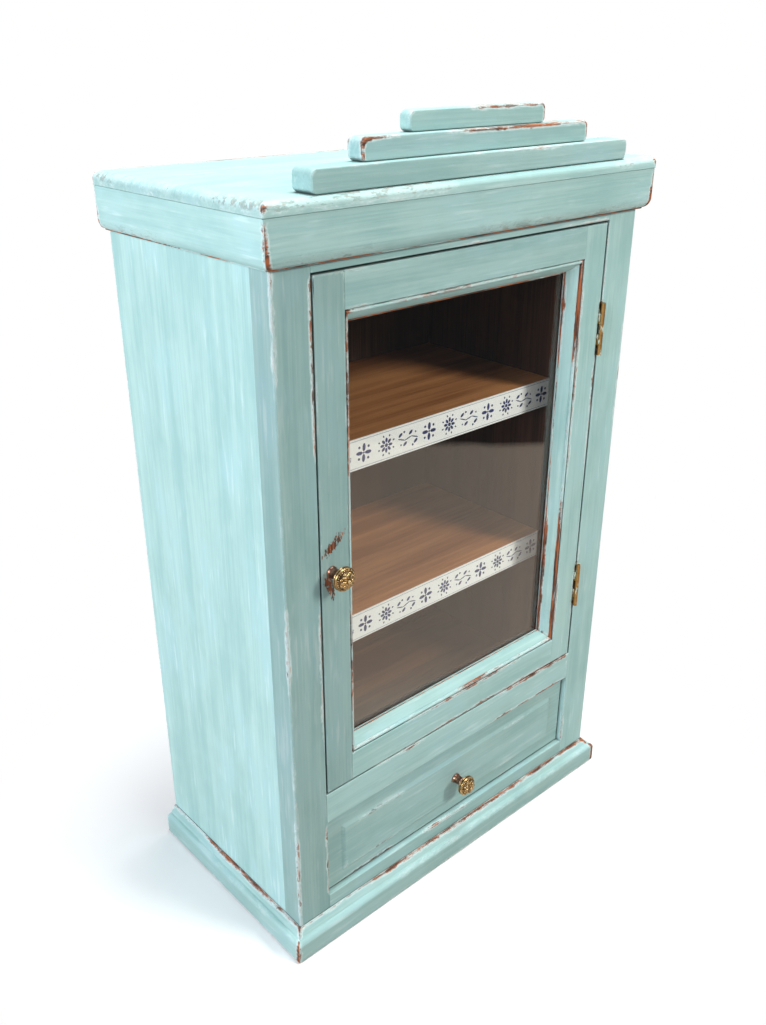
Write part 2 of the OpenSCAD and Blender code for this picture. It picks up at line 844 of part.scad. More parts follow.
module drawer_side(dir) {
    x0 = dir > 0 ? side_x1 - drawer_side_t : side_x0;
    groove_x = dir > 0 ? x0 - 1 : x0 + drawer_side_t - groove_d;
    color(shelf_wood)
        difference() {
            board([x0, side_y0, side_z0], [x0 + drawer_side_t, side_y1, side_z1]);
            translate([groove_x, side_y0 - 1, bottom_z - panel_fit])
                cube([groove_d + 1, drawer_side_l + 2, drawer_bottom_t + 2 * panel_fit]);
        }
}

module drawer_back() {
    color(shelf_wood)
        board([side_x0 + drawer_side_t, side_y1 - drawer_side_t, bottom_z + drawer_bottom_t + panel_fit],
              [side_x1 - drawer_side_t, side_y1, side_z1 - 4]);
}

module drawer_bottom() {
    color(shelf_wood)
        board([side_x0 + drawer_side_t - groove_d + panel_fit, draw_y1 - groove_d, bottom_z],
              [side_x1 - drawer_side_t + groove_d - panel_fit, side_y1, bottom_z + drawer_bottom_t]);
}

module drawer_knob() {
    translate([draw_knob_x, draw_y0 - field_raise, draw_knob_z])
        rotate([90, 0, 0])
            knob();
}

module drawer_knob_screw() {
    translate([draw_knob_x, draw_y1, draw_knob_z])
        rotate([90, 0, 0])
            knob_screw(drawer_front_t + field_raise);
}

// L-shaped runner: a ledge under the drawer side and a guide beside it, glued on the base board
module drawer_runner(dir) {
    outer = dir * inner_x;
    guide = dir > 0 ? open_right : open_left;
    ledge = outer - dir * runner_w;
    color(bare_wood)
        translate([0, board_back_y, 0])
            rotate([90, 0, 0])
                linear_extrude(board_back_y - frame_back_y)
                    polygon([
                        [outer, base_t], [ledge, base_t], [ledge, drawer_open_z],
                        [guide, drawer_open_z], [guide, drawer_open_z + drawer_side_h / 2],
                        [outer, drawer_open_z + drawer_side_h / 2]
                    ]);
}

module drawer_stops() {
    color(bare_wood)
        for (x = [side_x0, side_x1 - drawer_side_t])
            board([x, side_y1 + runner_gap, drawer_open_z],
                  [x + drawer_side_t, side_y1 + runner_gap + stop_l, drawer_open_z + drawer_side_h / 3]);
}

side(-1);  // side_left
side(1);  // side_right
lining(-1);  // lining_left
lining(1);  // lining_right
base_board();
display_floor();
ceiling_board();
back_panel();
top_board();
frame_stile_left();
frame_stile_right();
frame_rail(rail_top_z, rail_top_h);  // frame_rail_top
frame_rail(rail_middle_z, rail_middle_h);  // frame_rail_middle
frame_rail(0, rail_bottom_h);  // frame_rail_bottom
cornice_front();
cornice_side(-1);  // cornice_left
cornice_side(1);  // cornice_right
plinth_front();
plinth_side(-1);  // plinth_left
plinth_side(1);  // plinth_right
pediment_step(step_low_w, step_low_h, step_low_d, top_z);  // pediment_lower
pediment_step(step_mid_w, step_mid_h, step_mid_d, top_z + step_low_h);  // pediment_middle
pediment_step(step_top_w, step_top_h, step_top_d, top_z + step_low_h + step_mid_h);  // pediment_upper
shelf(shelf_high_z);  // shelf_upper
shelf(shelf_low_z);  // shelf_lower
shelf_edging(shelf_high_z);  // shelf_edging_upper
shelf_edging(shelf_low_z);  // shelf_edging_lower
drawer_runner(-1);  // drawer_runner_left
drawer_runner(1);  // drawer_runner_right
drawer_stops();
hinge_leaf_at(hinge_high_z, 1);  // hinge_upper_frame_leaf
hinge_leaf_at(hinge_low_z, 1);  // hinge_lower_frame_leaf
hinge_pins();
hinge_screws(1);  // hinge_screws_frame
door_magnet();
door_stile_left();
door_stile_right();
door_rail(door_z1 - door_frame_w);  // door_rail_top
door_rail(door_z0);  // door_rail_bottom
glazing_moulding("left");  // glazing_moulding_left
glazing_moulding("right");  // glazing_moulding_right
glazing_moulding("top");  // glazing_moulding_top
glazing_moulding("bottom");  // glazing_moulding_bottom
glass_pane();
glass_beads();
hinge_leaf_at(hinge_high_z, -1);  // hinge_upper_door_leaf
hinge_leaf_at(hinge_low_z, -1);  // hinge_lower_door_leaf
hinge_screws(-1);  // hinge_screws_door
door_knob();
door_knob_screw();
strike_plate();
drawer_front();
drawer_side(-1);  // drawer_side_left
drawer_side(1);  // drawer_side_right
drawer_back();
drawer_bottom();
drawer_knob();
drawer_knob_screw();
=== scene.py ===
# %% [markdown]
# # A painted thimble display case
#
# This lesson dresses a small cabinet: a glazed door over one drawer, two shelves with a printed strip,
# a moulded cornice and plinth, and a stepped pediment. The wood is painted blue-green, brushed by hand,
# and rubbed through to the brown wood at its edges.
#
# The construction model gives every board its place. Blender never changes a size: it softens edges,
# adds the small things that repeat, and makes the finishes.

# %% Load the construction model
import math
import bmesh
import bpy
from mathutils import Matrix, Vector


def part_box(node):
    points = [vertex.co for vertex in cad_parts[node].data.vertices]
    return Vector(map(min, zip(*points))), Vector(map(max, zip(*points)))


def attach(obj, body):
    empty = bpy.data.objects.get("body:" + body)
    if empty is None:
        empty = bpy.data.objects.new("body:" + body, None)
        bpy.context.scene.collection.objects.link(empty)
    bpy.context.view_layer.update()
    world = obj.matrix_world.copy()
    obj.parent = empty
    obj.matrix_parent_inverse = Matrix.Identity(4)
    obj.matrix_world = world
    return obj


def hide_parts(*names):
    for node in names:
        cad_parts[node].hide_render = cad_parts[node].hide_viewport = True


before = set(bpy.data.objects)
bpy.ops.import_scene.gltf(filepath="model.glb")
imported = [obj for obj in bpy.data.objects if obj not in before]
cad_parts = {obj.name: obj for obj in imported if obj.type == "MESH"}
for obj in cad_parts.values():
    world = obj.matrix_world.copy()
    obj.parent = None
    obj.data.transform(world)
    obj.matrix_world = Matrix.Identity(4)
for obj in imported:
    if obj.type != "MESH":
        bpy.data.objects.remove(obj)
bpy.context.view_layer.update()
mm = 0.001
quarter_turn = math.pi / 2

# %% [markdown]
# ## Writing materials in short lines
#
# A procedural material is a small program made of nodes. Adding and wiring each node by hand takes many
# lines, so a helper keeps the tree and offers the few steps that all finishes share: a number, a noise,
# a weighted sum, a soft threshold, and a mix of two colours or two shaders.

# %% A helper that writes shader nodes
class Nodes:
    """Adds nodes to a tree and wires them."""
    def __init__(self, tree):
        self.tree = tree

    def add(self, kind, **settings):
        node = self.tree.nodes.new(kind)
        for key, value in settings.items():
            setattr(node, key, value)
        return node

    def wire(self, source, target):
        if isinstance(source, bpy.types.NodeSocket):
            self.tree.links.new(source, target)
        else:
            target.default_value = source

    def either(self, share, first, second):
        """Shows the first shader where share is 0, the second where it is 1."""
        node = self.add("ShaderNodeMixShader")
        for target, source in zip(node.inputs, (share, first, second)):
            self.wire(source, target)
        return node.outputs[0]


class Finish(Nodes):
    """A material with a Principled shader, placed by the object's own coordinates."""
    def __init__(self, name):
        self.material = bpy.data.materials.new(name)
        self.material.use_nodes = True
        super().__init__(self.material.node_tree)
        self.tree.nodes.clear()
        self.surface = self.add("ShaderNodeBsdfPrincipled")
        self.output = self.add("ShaderNodeOutputMaterial")
        self.show(self.surface.outputs[0])
        self.place = self.add("ShaderNodeTexCoord").outputs["Object"]

    def show(self, shader):
        self.wire(shader, self.output.inputs["Surface"])

    def math(self, operation, a, b):
        node = self.add("ShaderNodeMath", operation=operation)
        self.wire(a, node.inputs[0])
        self.wire(b, node.inputs[1])
        return node.outputs[0]

    def total(self, *terms):
        """Adds up values, each times its own share."""
        parts = [self.math("MULTIPLY", value, share) for value, share in terms]
        result = parts[0]
        for part in parts[1:]:
            result = self.math("ADD", result, part)
        return result

    def vector(self, operation, a, b):
        node = self.add("ShaderNodeVectorMath", operation=operation)
        self.wire(a, node.inputs[0])
        self.wire(b, node.inputs["Scale" if operation == "SCALE" else 1])
        return node.outputs["Value" if operation in ("DOT_PRODUCT", "DISTANCE") else "Vector"]

    def noise(self, at, scale, detail=3.0, roughness=0.55):
        stretched = self.vector("MULTIPLY", at, scale if hasattr(scale, "__len__") else (scale,) * 3)
        node = self.add("ShaderNodeTexNoise")
        self.wire(stretched, node.inputs["Vector"])
        node.inputs["Scale"].default_value = 1.0
        node.inputs["Detail"].default_value = detail
        node.inputs["Roughness"].default_value = roughness
        return node.outputs[0]

    def soft(self, value, low, high, to_low=0.0, to_high=1.0):
        node = self.add("ShaderNodeMapRange", interpolation_type="SMOOTHSTEP")
        self.wire(value, node.inputs["Value"])
        for key, number in zip(("From Min", "From Max", "To Min", "To Max"), (low, high, to_low, to_high)):
            self.wire(number, node.inputs[key])
        return node.outputs[0]

    def mix(self, share, first, second):
        node = self.add("ShaderNodeMix", data_type="RGBA")
        self.wire(share, node.inputs[0])
        self.wire(first, node.inputs[6])
        self.wire(second, node.inputs[7])
        return node.outputs[2]

    def bump(self, height, distance, strength):
        node = self.add("ShaderNodeBump")
        node.inputs["Strength"].default_value = strength
        node.inputs["Distance"].default_value = distance
        self.wire(height, node.inputs["Height"])
        return node.outputs[0]

    def own_number(self, name):
        return self.add("ShaderNodeAttribute", attribute_name=name).outputs["Fac"]


def colour(red, green, blue):
    """A screen colour, 0 to 255, as the linear numbers that a shader takes."""
    return tuple((c / 255 / 12.92 if c < 10.3 else ((c / 255 + 0.055) / 1.055) ** 2.4)
                 for c in (red, green, blue)) + (1.0,)


# The paint's dark and light tones, its bluer clouds and dry strokes, its pale edges (rubbed paint with
# a painted highlight) and the painted shade in its creases.
paint_tones = colour(155, 195, 193), colour(182, 215, 210)
cloud_tone, dry_tone = colour(160, 205, 210), colour(212, 234, 232)
rubbed_and_highlight_tone, crease_shade_tone = colour(226, 243, 242), colour(88, 100, 96)
bared_wood_tones = colour(66, 43, 33), colour(166, 96, 58)
print("light paint as linear numbers:", [round(c, 3) for c in paint_tones[1][:3]])

# %% [markdown]
# ## The worn chalk paint
#
# On the real case one coat of matt paint was brushed over brown wood, then sanded at the edges. Three
# things are seen: long brush strokes along each board, a cloudy change of tone, and ragged chips where
# an edge stands out. The Ambient Occlusion node, turned to look inside the board, finds such edges: near
# an outer edge the wood behind the surface is thin, so the inward rays soon come out again. A slow noise
# picks the stretches that are worn, and finer ones break their outline into chips. Around them the edges
# turn pale: partly paint rubbed pale, partly a painted highlight. A second such node looks outwards and
# paints shade into the creases between boards. Each board also carries three numbers: a seed, its own
# tone, which also holds painted light and shade (darker at the left of the front, lighter on the sides),
# and how far each of its corners may be worn. One recipe is made for each grain direction, because
# strokes follow the board.

# %% Chalk paint for boards whose grain runs along X, Y or Z
def along(grain, lengthways, across):
    return tuple(lengthways if axis == grain else across for axis in "XYZ")


# Two ragged streaks on the door beside the knob, drawn as bare wood: centre in mm, tilt, half length, half
# width.
knob_side_streaks = [((-120.5, 313.5), 0.7, 11.0, 3.6), ((-125.0, 287.0), 1.9, 10.5, 3.4)]
door_face = -84.0  # the door's front face, Y in mm
edge_reach, crease_shade_reach = 3.2 * mm, 3.5 * mm


def knob_side_streak(f, ragged_field, centre, tilt, half_long, half_wide):
    """A ragged streak on the front, drawn as bare wood, 1 inside and 0 outside."""
    apart = f.vector("SUBTRACT", f.place, (centre[0] * mm, 0.0, centre[1] * mm))
    lengthways = f.vector("DOT_PRODUCT", apart, (math.cos(tilt), 0.0, math.sin(tilt)))
    across = f.vector("DOT_PRODUCT", apart, (-math.sin(tilt), 0.0, math.cos(tilt)))
    lengthways = f.math("DIVIDE", lengthways, half_long * mm)
    across = f.math("DIVIDE", across, half_wide * mm)
    squared = f.total((lengthways, lengthways), (across, across))
    depth = f.vector("DOT_PRODUCT", f.place, (0.0, 1.0, 0.0))
    on_front = f.soft(depth, (door_face + 0.6) * mm, (door_face + 1.4) * mm, 1.0, 0.0)
    field = f.math("SUBTRACT", ragged_field, f.math("MULTIPLY", squared, 0.2))
    return f.math("MULTIPLY", f.soft(field, 0.72, 0.76), on_front)


def brushed_paint(f, strokes, bands, clouds, ridges):
    """Colour of whole paint, from light and dark strokes, bluer clouds and dry ridges."""
    tone = f.total((strokes, 0.3), (bands, 0.3), (clouds, 0.4))
    paint = f.mix(f.soft(tone, 0.38, 0.62), *paint_tones)
    paint = f.mix(f.soft(clouds, 0.45, 0.66, 0.0, 0.5), paint, cloud_tone)
    dry = f.soft(f.total((ridges, 0.6), (clouds, 0.4)), 0.55, 0.68)
    paint = f.mix(f.math("MULTIPLY", dry, 0.45), paint, dry_tone)
    # Each board's own tone, which also holds painted light and shade: darker at the left of the front,
    # lighter on the sides.
    return f.vector("SCALE", paint, f.own_number("piece_tone_and_shade"))


def worn_edges(f, at, grain, chips, crumbs):
    """How far the paint is off, and how far it is pale at the edge, rubbed paint with a painted highlight,
    from 0 to 1.
    """
    inward = f.add("ShaderNodeAmbientOcclusion", samples=8, inside=True, only_local=True)
    inward.inputs["Distance"].default_value = edge_reach
    edge = f.math("SUBTRACT", 1.0, inward.outputs["AO"])
    patch = f.noise(at, along(grain, 9, 16), 2.0, 0.5)
    wear = f.own_number("wear")
    want = f.math("MULTIPLY", wear, f.soft(patch, 0.40, 0.60))
    score = f.total((edge, 1.3), (want, 0.62), (f.math("SUBTRACT", chips, 0.5), 1.1),
                    (f.math("SUBTRACT", crumbs, 0.5), 0.5))
    on_edge = f.math("MULTIPLY", f.soft(edge, 0.04, 0.12), f.soft(wear, 0.05, 0.3))
    limits = ((0.98, 1.04), (0.62, 0.92))
    return [f.math("MULTIPLY", f.soft(score, low, high), on_edge) for low, high in limits]


def chalk_paint(grain):
    f = Finish("chalk_paint_" + grain.lower())
    shift = f.add("ShaderNodeCombineXYZ")
    seed = f.own_number("piece_seed")
    for axis, factor in zip("XYZ", (3.1, 5.7, 9.3)):
        f.wire(f.math("MULTIPLY", seed, factor), shift.inputs[axis])
    at = f.vector("ADD", f.place, shift.outputs[0])
    strokes = f.noise(at, along(grain, 14, 620), 4.0, 0.6)
    bands = f.noise(at, along(grain, 5, 95))
    clouds = f.noise(at, along(grain, 13, 24), 4.0, 0.62)
    ridges = f.noise(at, along(grain, 30, 330), 2.0, 0.5)
    grit = f.noise(at, 900, 2.0)
    chips = f.noise(at, along(grain, 75, 210), 3.0, 0.6)
    crumbs = f.noise(at, along(grain, 340, 900), 3.0, 0.6)

    paint = brushed_paint(f, strokes, bands, clouds, ridges)
    bare, rubbed_and_highlit = worn_edges(f, at, grain, chips, crumbs)
    if grain == "Z":
        ragged_field = f.total((chips, 0.8), (crumbs, 0.9))
        for place in knob_side_streaks:
            bare = f.math("MAXIMUM", bare, knob_side_streak(f, ragged_field, *place))

    wood_tone = f.noise(at, along(grain, 40, 700))
    wood = f.mix(f.soft(wood_tone, 0.38, 0.64), *bared_wood_tones)
    # Painted shade: where the outward rays soon meet another board, the paint darkens to the crease tone.
    outward = f.add("ShaderNodeAmbientOcclusion", samples=6)
    outward.inputs["Distance"].default_value = crease_shade_reach
    painted_crease_shade = f.soft(f.total((outward.outputs["AO"], 1.0), (chips, 0.3)), 0.52, 0.86, 0.8, 0.0)
    shade = f.mix(painted_crease_shade, paint, crease_shade_tone)
    # Pale edges: partly paint rubbed pale, partly a painted highlight where an edge catches the light.
    shade = f.mix(f.math("MULTIPLY", rubbed_and_highlit, 0.75), shade, rubbed_and_highlight_tone)
    f.wire(f.mix(bare, shade, wood), f.surface.inputs["Base Color"])
    f.wire(f.soft(strokes, 0.3, 0.7, 0.46, 0.64), f.surface.inputs["Roughness"])
    f.surface.inputs["Specular IOR Level"].default_value = 0.3
    height = f.total((strokes, 0.5), (ridges, 0.5), (grit, 0.12), (bare, -0.9))
    f.wire(f.bump(height, 0.24 * mm, 0.8), f.surface.inputs["Normal"])
    return f.material


paint_for = {grain: chalk_paint(grain) for grain in "XYZ"}
print("paint recipes:", [m.name for m in paint_for.values()])

# %% [markdown]
# ## The woods inside
#
# Inside, the case is stained, not painted: nearly black-brown walls, and lighter shelves whose grain runs
# from side to side. The upright walls are darker than the level boards of the same stain: partly the
# stain's own dark colour, partly painted shade. Wood is a stack of stretched noises: a broad one for the
# growth bands and a very long, very thin one for the pores. The gloss is low, or the woods would mirror the
# white room as a grey haze.

# %% Stained wood, shelf wood and bare wood
wood_gloss = 0.12
dark_bare, light_bare = (176, 138, 98), (206, 170, 128)


def plain_wood(name, grain, dark, light, roughness):
    f = Finish(name)
    rings = f.noise(f.place, along(grain, 3, 70), 3.0, 0.6)
    pores = f.noise(f.place, along(grain, 18, 1100), 3.0, 0.6)
    cloud = f.noise(f.place, along(grain, 6, 16), 2.0)
    tone = f.total((rings, 0.45), (pores, 0.3), (cloud, 0.25))
    shade = f.mix(f.soft(tone, 0.38, 0.62), colour(*dark), colour(*light))
    f.wire(shade, f.surface.inputs["Base Color"])
    f.wire(f.soft(pores, 0.3, 0.7, roughness - 0.06, roughness + 0.08), f.surface.inputs["Roughness"])
    f.surface.inputs["Specular IOR Level"].default_value = wood_gloss
    f.wire(f.bump(pores, 0.12 * mm, 0.5), f.surface.inputs["Normal"])
    return f.material


# The upright boards' tone, darker than the level boards', is partly the stain itself and partly painted
# shade.
stain_and_shade_z = plain_wood("dark_stained_wood_upright", "Z", (44, 26, 20), (80, 52, 38), 0.5)
stain_x = plain_wood("dark_stained_wood_level", "X", (84, 54, 38), (130, 88, 62), 0.5)
shelf_wood = plain_wood("shelf_wood", "X", (150, 94, 54), (206, 144, 92), 0.5)
bare_x = plain_wood("bare_wood_sideways", "X", dark_bare, light_bare, 0.6)
bare_y = plain_wood("bare_wood_deep", "Y", dark_bare, light_bare, 0.6)
back_wood = plain_wood("back_board_wood", "Z", (50, 34, 28), (84, 62, 48), 0.6)
print("woods made")


# %% Paper and ink of the printed strip
def paper_or_ink(name, dark, light, roughness):
    f = Finish(name)
    spots = f.noise(f.place, 700, 3.0, 0.6)
    shade = f.mix(f.soft(spots, 0.35, 0.65), colour(*dark), colour(*light))
    f.wire(shade, f.surface.inputs["Base Color"])
    f.wire(f.soft(spots, 0.3, 0.7, roughness, roughness + 0.1), f.surface.inputs["Roughness"])
    f.wire(f.bump(spots, 0.02 * mm, 0.4), f.surface.inputs["Normal"])
    return f.material


paper = paper_or_ink("printed_paper", (248, 248, 245), (254, 254, 252), 0.5)
blue_ink = paper_or_ink("blue_ink", (14, 22, 66), (38, 52, 112), 0.5)
grey_ink = paper_or_ink("grey_ink", (120, 124, 132), (158, 160, 166), 0.5)
print("paper and inks made")

# %% [markdown]
# ## Old brass, steel and glass
#
# The knobs and hinges are brass that was darkened on purpose: bright where hands rub, brown in the
# hollows. The glass is a real pane with two faces, so it reflects on both; light that only passes
# through on its way to a shelf is let through, as a renderer would otherwise leave the case too dark.

# %% Brass, steel and glass
grime, chalk_on_brass = colour(16, 11, 7), colour(188, 200, 186)


def old_metal(name, dark, bright, roughness, painted_over=0.0):
    f = Finish(name)
    blotches = f.noise(f.place, 420, 4.0, 0.6)
    scratches = f.noise(f.place, (900, 900, 2600), 2.0)
    hollow = f.add("ShaderNodeAmbientOcclusion", samples=8, only_local=True)
    hollow.inputs["Distance"].default_value = 1.4 * mm
    pointed = f.add("ShaderNodeNewGeometry").outputs["Pointiness"]
    worn = f.soft(f.total((pointed, 1.3), (blotches, 0.35)), 0.78, 0.93)
    shade = f.mix(worn, colour(*dark), colour(*bright))
    shade = f.mix(f.soft(hollow.outputs["AO"], 0.5, 0.95), f.mix(0.8, shade, grime), shade)
    if painted_over:
        left_paint = f.noise(f.place, (160, 160, 60), 4.0, 0.65)
        covered = f.soft(left_paint, 0.6 - painted_over, 0.63 - painted_over)
        shade = f.mix(covered, shade, chalk_on_brass)
        f.wire(f.math("SUBTRACT", 1.0, covered), f.surface.inputs["Metallic"])
    else:
        f.surface.inputs["Metallic"].default_value = 1.0
    f.wire(shade, f.surface.inputs["Base Color"])
    f.wire(f.soft(blotches, 0.3, 0.7, roughness + 0.12, roughness - 0.04), f.surface.inputs["Roughness"])
    f.wire(f.bump(scratches, 0.02 * mm, 0.4), f.surface.inputs["Normal"])
    return f.material


brass = old_metal("antique_brass", (56, 42, 25), (176, 148, 104), 0.2)
hinge_brass = old_metal("old_hinge_brass", (84, 58, 34), (152, 118, 72), 0.42, 0.06)
copper = old_metal("copper_toned_stem", (104, 70, 56), (198, 152, 130), 0.26)
steel = old_metal("plain_steel", (120, 120, 122), (190, 190, 192), 0.34)


def window_glass():
    f = Finish("window_glass")
    f.surface.inputs["Base Color"].default_value = colour(252, 254, 253)
    f.surface.inputs["Roughness"].default_value = 0.0
    f.surface.inputs["IOR"].default_value = 1.5
    f.surface.inputs["Transmission Weight"].default_value = 1.0
    path = f.add("ShaderNodeLightPath")
    passing = f.math("MAXIMUM", path.outputs["Is Shadow Ray"], path.outputs["Is Diffuse Ray"])
    clear = f.add("ShaderNodeBsdfTransparent")
    clear.inputs[0].default_value = colour(254, 255, 254)
    f.show(f.either(passing, f.surface.outputs[0], clear.outputs[0]))
    return f.material


glass = window_glass()
print("metals and glass made")

# %% [markdown]
# ## From construction solids to handmade boards
#
# The solids have perfectly sharp edges, which no painted board has. A merged copy of each one gets a
# small rounding with the Bevel modifier. Where two boards meet flush, as a rail does with its stile, the
# paint bridges the joint, so those edges get a far smaller one. The modifier takes each edge's width from
# its bevel weight, and the copy then stands for the solid.

# %% Helpers that copy, round and hand over a board
full_round = 0.9 * mm
flush_round = 0.14 * mm


def merged_copy(node):
    bm = bmesh.new()
    bm.from_mesh(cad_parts[node].data)
    bmesh.ops.remove_doubles(bm, verts=bm.verts, dist=0.002 * mm)
    bmesh.ops.dissolve_limit(bm, angle_limit=math.radians(0.5), verts=bm.verts, edges=bm.edges)
    return bm


def near_any(point, boxes, slack=0.05 * mm):
    return any(all(low[i] - slack <= point[i] <= high[i] + slack for i in range(3))
               for low, high in boxes)


def plain_mesh(piece):
    """Turns a piece with modifiers into a plain mesh."""
    graph = bpy.context.evaluated_depsgraph_get()
    mesh = bpy.data.meshes.new_from_object(piece.evaluated_get(graph))
    old = piece.data
    piece.modifiers.clear()
    piece.data = mesh
    if isinstance(old, bpy.types.Mesh):
        bpy.data.meshes.remove(old)
    return piece


def give_number(mesh, name, value):
    layer = mesh.attributes.new(name, "FLOAT", "POINT")
    layer.data.foreach_set("value", [value] * len(mesh.vertices))


def coat(mesh, material):
    mesh.materials.clear()
    mesh.materials.append(material)


def hand_over(piece, body, node):
    """Gives a finished mesh its body, and lets it stand for its construction solid."""
    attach(piece, body)
    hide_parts(node)


def as_object(name, bm):
    mesh = bpy.data.meshes.new(name)
    bm.to_mesh(mesh)
    bm.free()
    piece = bpy.data.objects.new(name, mesh)
    bpy.context.scene.collection.objects.link(piece)
    return piece


def rounded(name, bm, width_of, wear_of, sharp=28.0):
    """Bevels each sharp edge by width_of(its middle), and writes wear_of(corner) at each corner."""
    weight = bm.edges.layers.float.new("bevel_weight_edge")
    wear = bm.verts.layers.float.new("wear")
    for edge in bm.edges:
        if len(edge.link_faces) == 2 and edge.calc_face_angle(0) > math.radians(sharp):
            middle = (edge.verts[0].co + edge.verts[1].co) / 2
            edge[weight] = width_of(middle) / full_round
    for corner in bm.verts:
        corner[wear] = wear_of(corner.co)
    piece = as_object(name, bm)
    bevel = piece.modifiers.new("rounding", "BEVEL")
    bevel.width = full_round
    bevel.segments = 2
    bevel.limit_method = "WEIGHT"
    bevel.use_clamp_overlap = False
    for polygon in piece.data.polygons:
        polygon.use_smooth = True
    even = piece.modifiers.new("even_shading", "WEIGHTED_NORMAL")
    even.keep_sharp = True
    return plain_mesh(piece)


print("full rounding, mm:", full_round / mm)

# %% [markdown]
# ## The painted boards
#
# Each board is listed with its body, its grain, how strongly its edges are worn, its rounding and its
# tone, which also holds painted light and shade. A long board that meets others flush is first cut across
# at their edges and a little beside them, so that one edge can change from rounded to nearly sharp, and
# from worn to whole, where the next starts.

# %% Carcass, face frame, pediment and door frame
# The tone also holds painted light and shade: boards at the left of the front are darker, the sides lighter.
painted = {  # body, grain, wear, rounding in mm, tone
    "side_left": ("case", "Z", 0.75, 0.8, 1.06), "side_right": ("case", "Z", 0.75, 0.8, 1.06),
    "frame_stile_left": ("case", "Z", 1.0, 0.9, 0.7), "frame_stile_right": ("case", "Z", 0.9, 0.9, 0.94),
    "frame_rail_top": ("case", "X", 0.8, 0.7, 0.85), "frame_rail_middle": ("case", "X", 1.2, 0.8, 0.95),
    "frame_rail_bottom": ("case", "X", 1.0, 0.9, 0.84),
    "top_board": ("case", "X", 1.3, 0.4, 0.92),
    "pediment_lower": ("case", "X", 1.35, 0.9, 0.8), "pediment_middle": ("case", "X", 1.35, 0.9, 0.78),
    "pediment_upper": ("case", "X", 1.25, 0.9, 0.86),
    "door_stile_left": ("door", "Z", 0.8, 0.6, 0.68), "door_stile_right": ("door", "Z", 0.9, 0.6, 0.93),
    "door_rail_top": ("door", "X", 0.7, 0.6, 0.86), "door_rail_bottom": ("door", "X", 1.05, 0.6, 0.96),
    "drawer_front": ("drawer", "X", 1.25, 0.5, 0.84),
}
flush_groups = [
    ("side_left", "frame_stile_left", "frame_rail_top", "frame_rail_middle", "frame_rail_bottom",
     "frame_stile_right", "side_right"),
    ("door_stile_left", "door_rail_top", "door_rail_bottom", "door_stile_right"),
]
boxes = {node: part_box(node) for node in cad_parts}
tenon = 12 * mm
beside_joint = 4 * mm


def tenon_free(node):
    """The box of a rail between its shoulders, without the hidden tenons."""
    low, high = boxes[node]
    if "rail" in node:
        return Vector((low.x + tenon, low.y, low.z)), Vector((high.x - tenon, high.y, high.z))
    return low, high


def cut_across(bm, axis, places):
    """Cuts a board across at each place, so that its corners there can carry their own numbers."""
    normal = Vector([1.0 if i == axis else 0.0 for i in range(3)])
    for place in places:
        bmesh.ops.bisect_plane(bm, geom=bm.verts[:] + bm.edges[:] + bm.faces[:],
                               plane_co=normal * place, plane_no=normal)


def number_and_paint(piece, seed, tone, grain):
    give_number(piece.data, "piece_seed", seed)
    give_number(piece.data, "piece_tone_and_shade", tone)
    coat(piece.data, paint_for[grain])


def painted_board(node, seed):
    body, grain, wear, width, tone = painted[node]
    group = next((g for g in flush_groups if node in g), ())
    others = [tenon_free(other) for other in group if other != node]
    bm = merged_copy(node)
    axis = "XYZ".index(grain)
    low, high = tenon_free(node)
    if "stile" in node:
        ends = [z for pair in others for z in (pair[0].z, pair[1].z)]
    else:
        ends = [low[axis], high[axis]]
    places = {round(end + step, 6) for end in ends for step in (-beside_joint, 0.0, beside_joint)}
    cut_across(bm, axis, sorted(p for p in places if low[axis] + mm < p < high[axis] - mm))
    # The foot of a board that stands on another one isn't worn.
    foot = low.z + (mm if node == "top_board" else 0.5 * mm if "pediment" in node else -mm)
    piece = rounded(node + "_painted", bm, lambda p: flush_round if near_any(p, others) else width * mm,
                    lambda p: 0.0 if near_any(p, others) or p.z < foot else wear)
    number_and_paint(piece, seed, tone, grain)
    hand_over(piece, body, node)


for number, name in enumerate(painted):
    painted_board(name, (number + 1) * 0.137)
print("painted boards:", len(painted))

# %% [markdown]
# ## The mouldings
#
# Cornice, plinth and glazing bars are long strips with a cut section, mitred at the corners. Their solids
# already have that section, so only the narrow arrises are eased, by a fraction of a millimetre.

# %% Cornice, plinth and glazing mouldings
# The tone also holds painted light and shade: the front strips are darker than the side ones.
mouldings = {  # body, grain, wear, tone
    "cornice_front": ("case", "X", 1.3, 0.86), "cornice_left": ("case", "Y", 1.25, 1.06),
    "cornice_right": ("case", "Y", 0.85, 1.0),
    "plinth_front": ("case", "X", 0.85, 0.86), "plinth_left": ("case", "Y", 0.85, 0.92),
    "plinth_right": ("case", "Y", 0.85, 0.92),
    "glazing_moulding_left": ("door", "Z", 0.8, 1.0), "glazing_moulding_right": ("door", "Z", 1.3, 1.0),
    "glazing_moulding_top": ("door", "X", 0.7, 1.0), "glazing_moulding_bottom": ("door", "X", 1.15, 1.0),
}
door_frame = [tenon_free(name) for name in flush_groups[1]]
front = boxes["frame_stile_left"][0].y
glazing_depth = 10.5 * mm


def moulding_wear(node, wear):
    """Full wear, but less or none where a strip lies against the boards that carry it."""
    high = boxes[node][1]

    def at(p):
        if "glazing" in node:
            return 0.0 if near_any(p, door_frame) or p.y > front + glazing_depth else wear
        if p.z > high.z - mm:
            return 0.0 if "cornice" in node else 0.5 * wear
        return wear

    return at


for number, (name, (body, grain, wear, tone)) in enumerate(mouldings.items()):
    width = 0.2 * mm if "glazing" in name else 0.4 * mm
    strip = rounded(name + "_painted", merged_copy(name), lambda p: width, moulding_wear(name, wear),
                    sharp=32.0)
    number_and_paint(strip, 3.3 + number * 0.271, tone, grain)
    hand_over(strip, body, name)
print("mouldings:", len(mouldings))

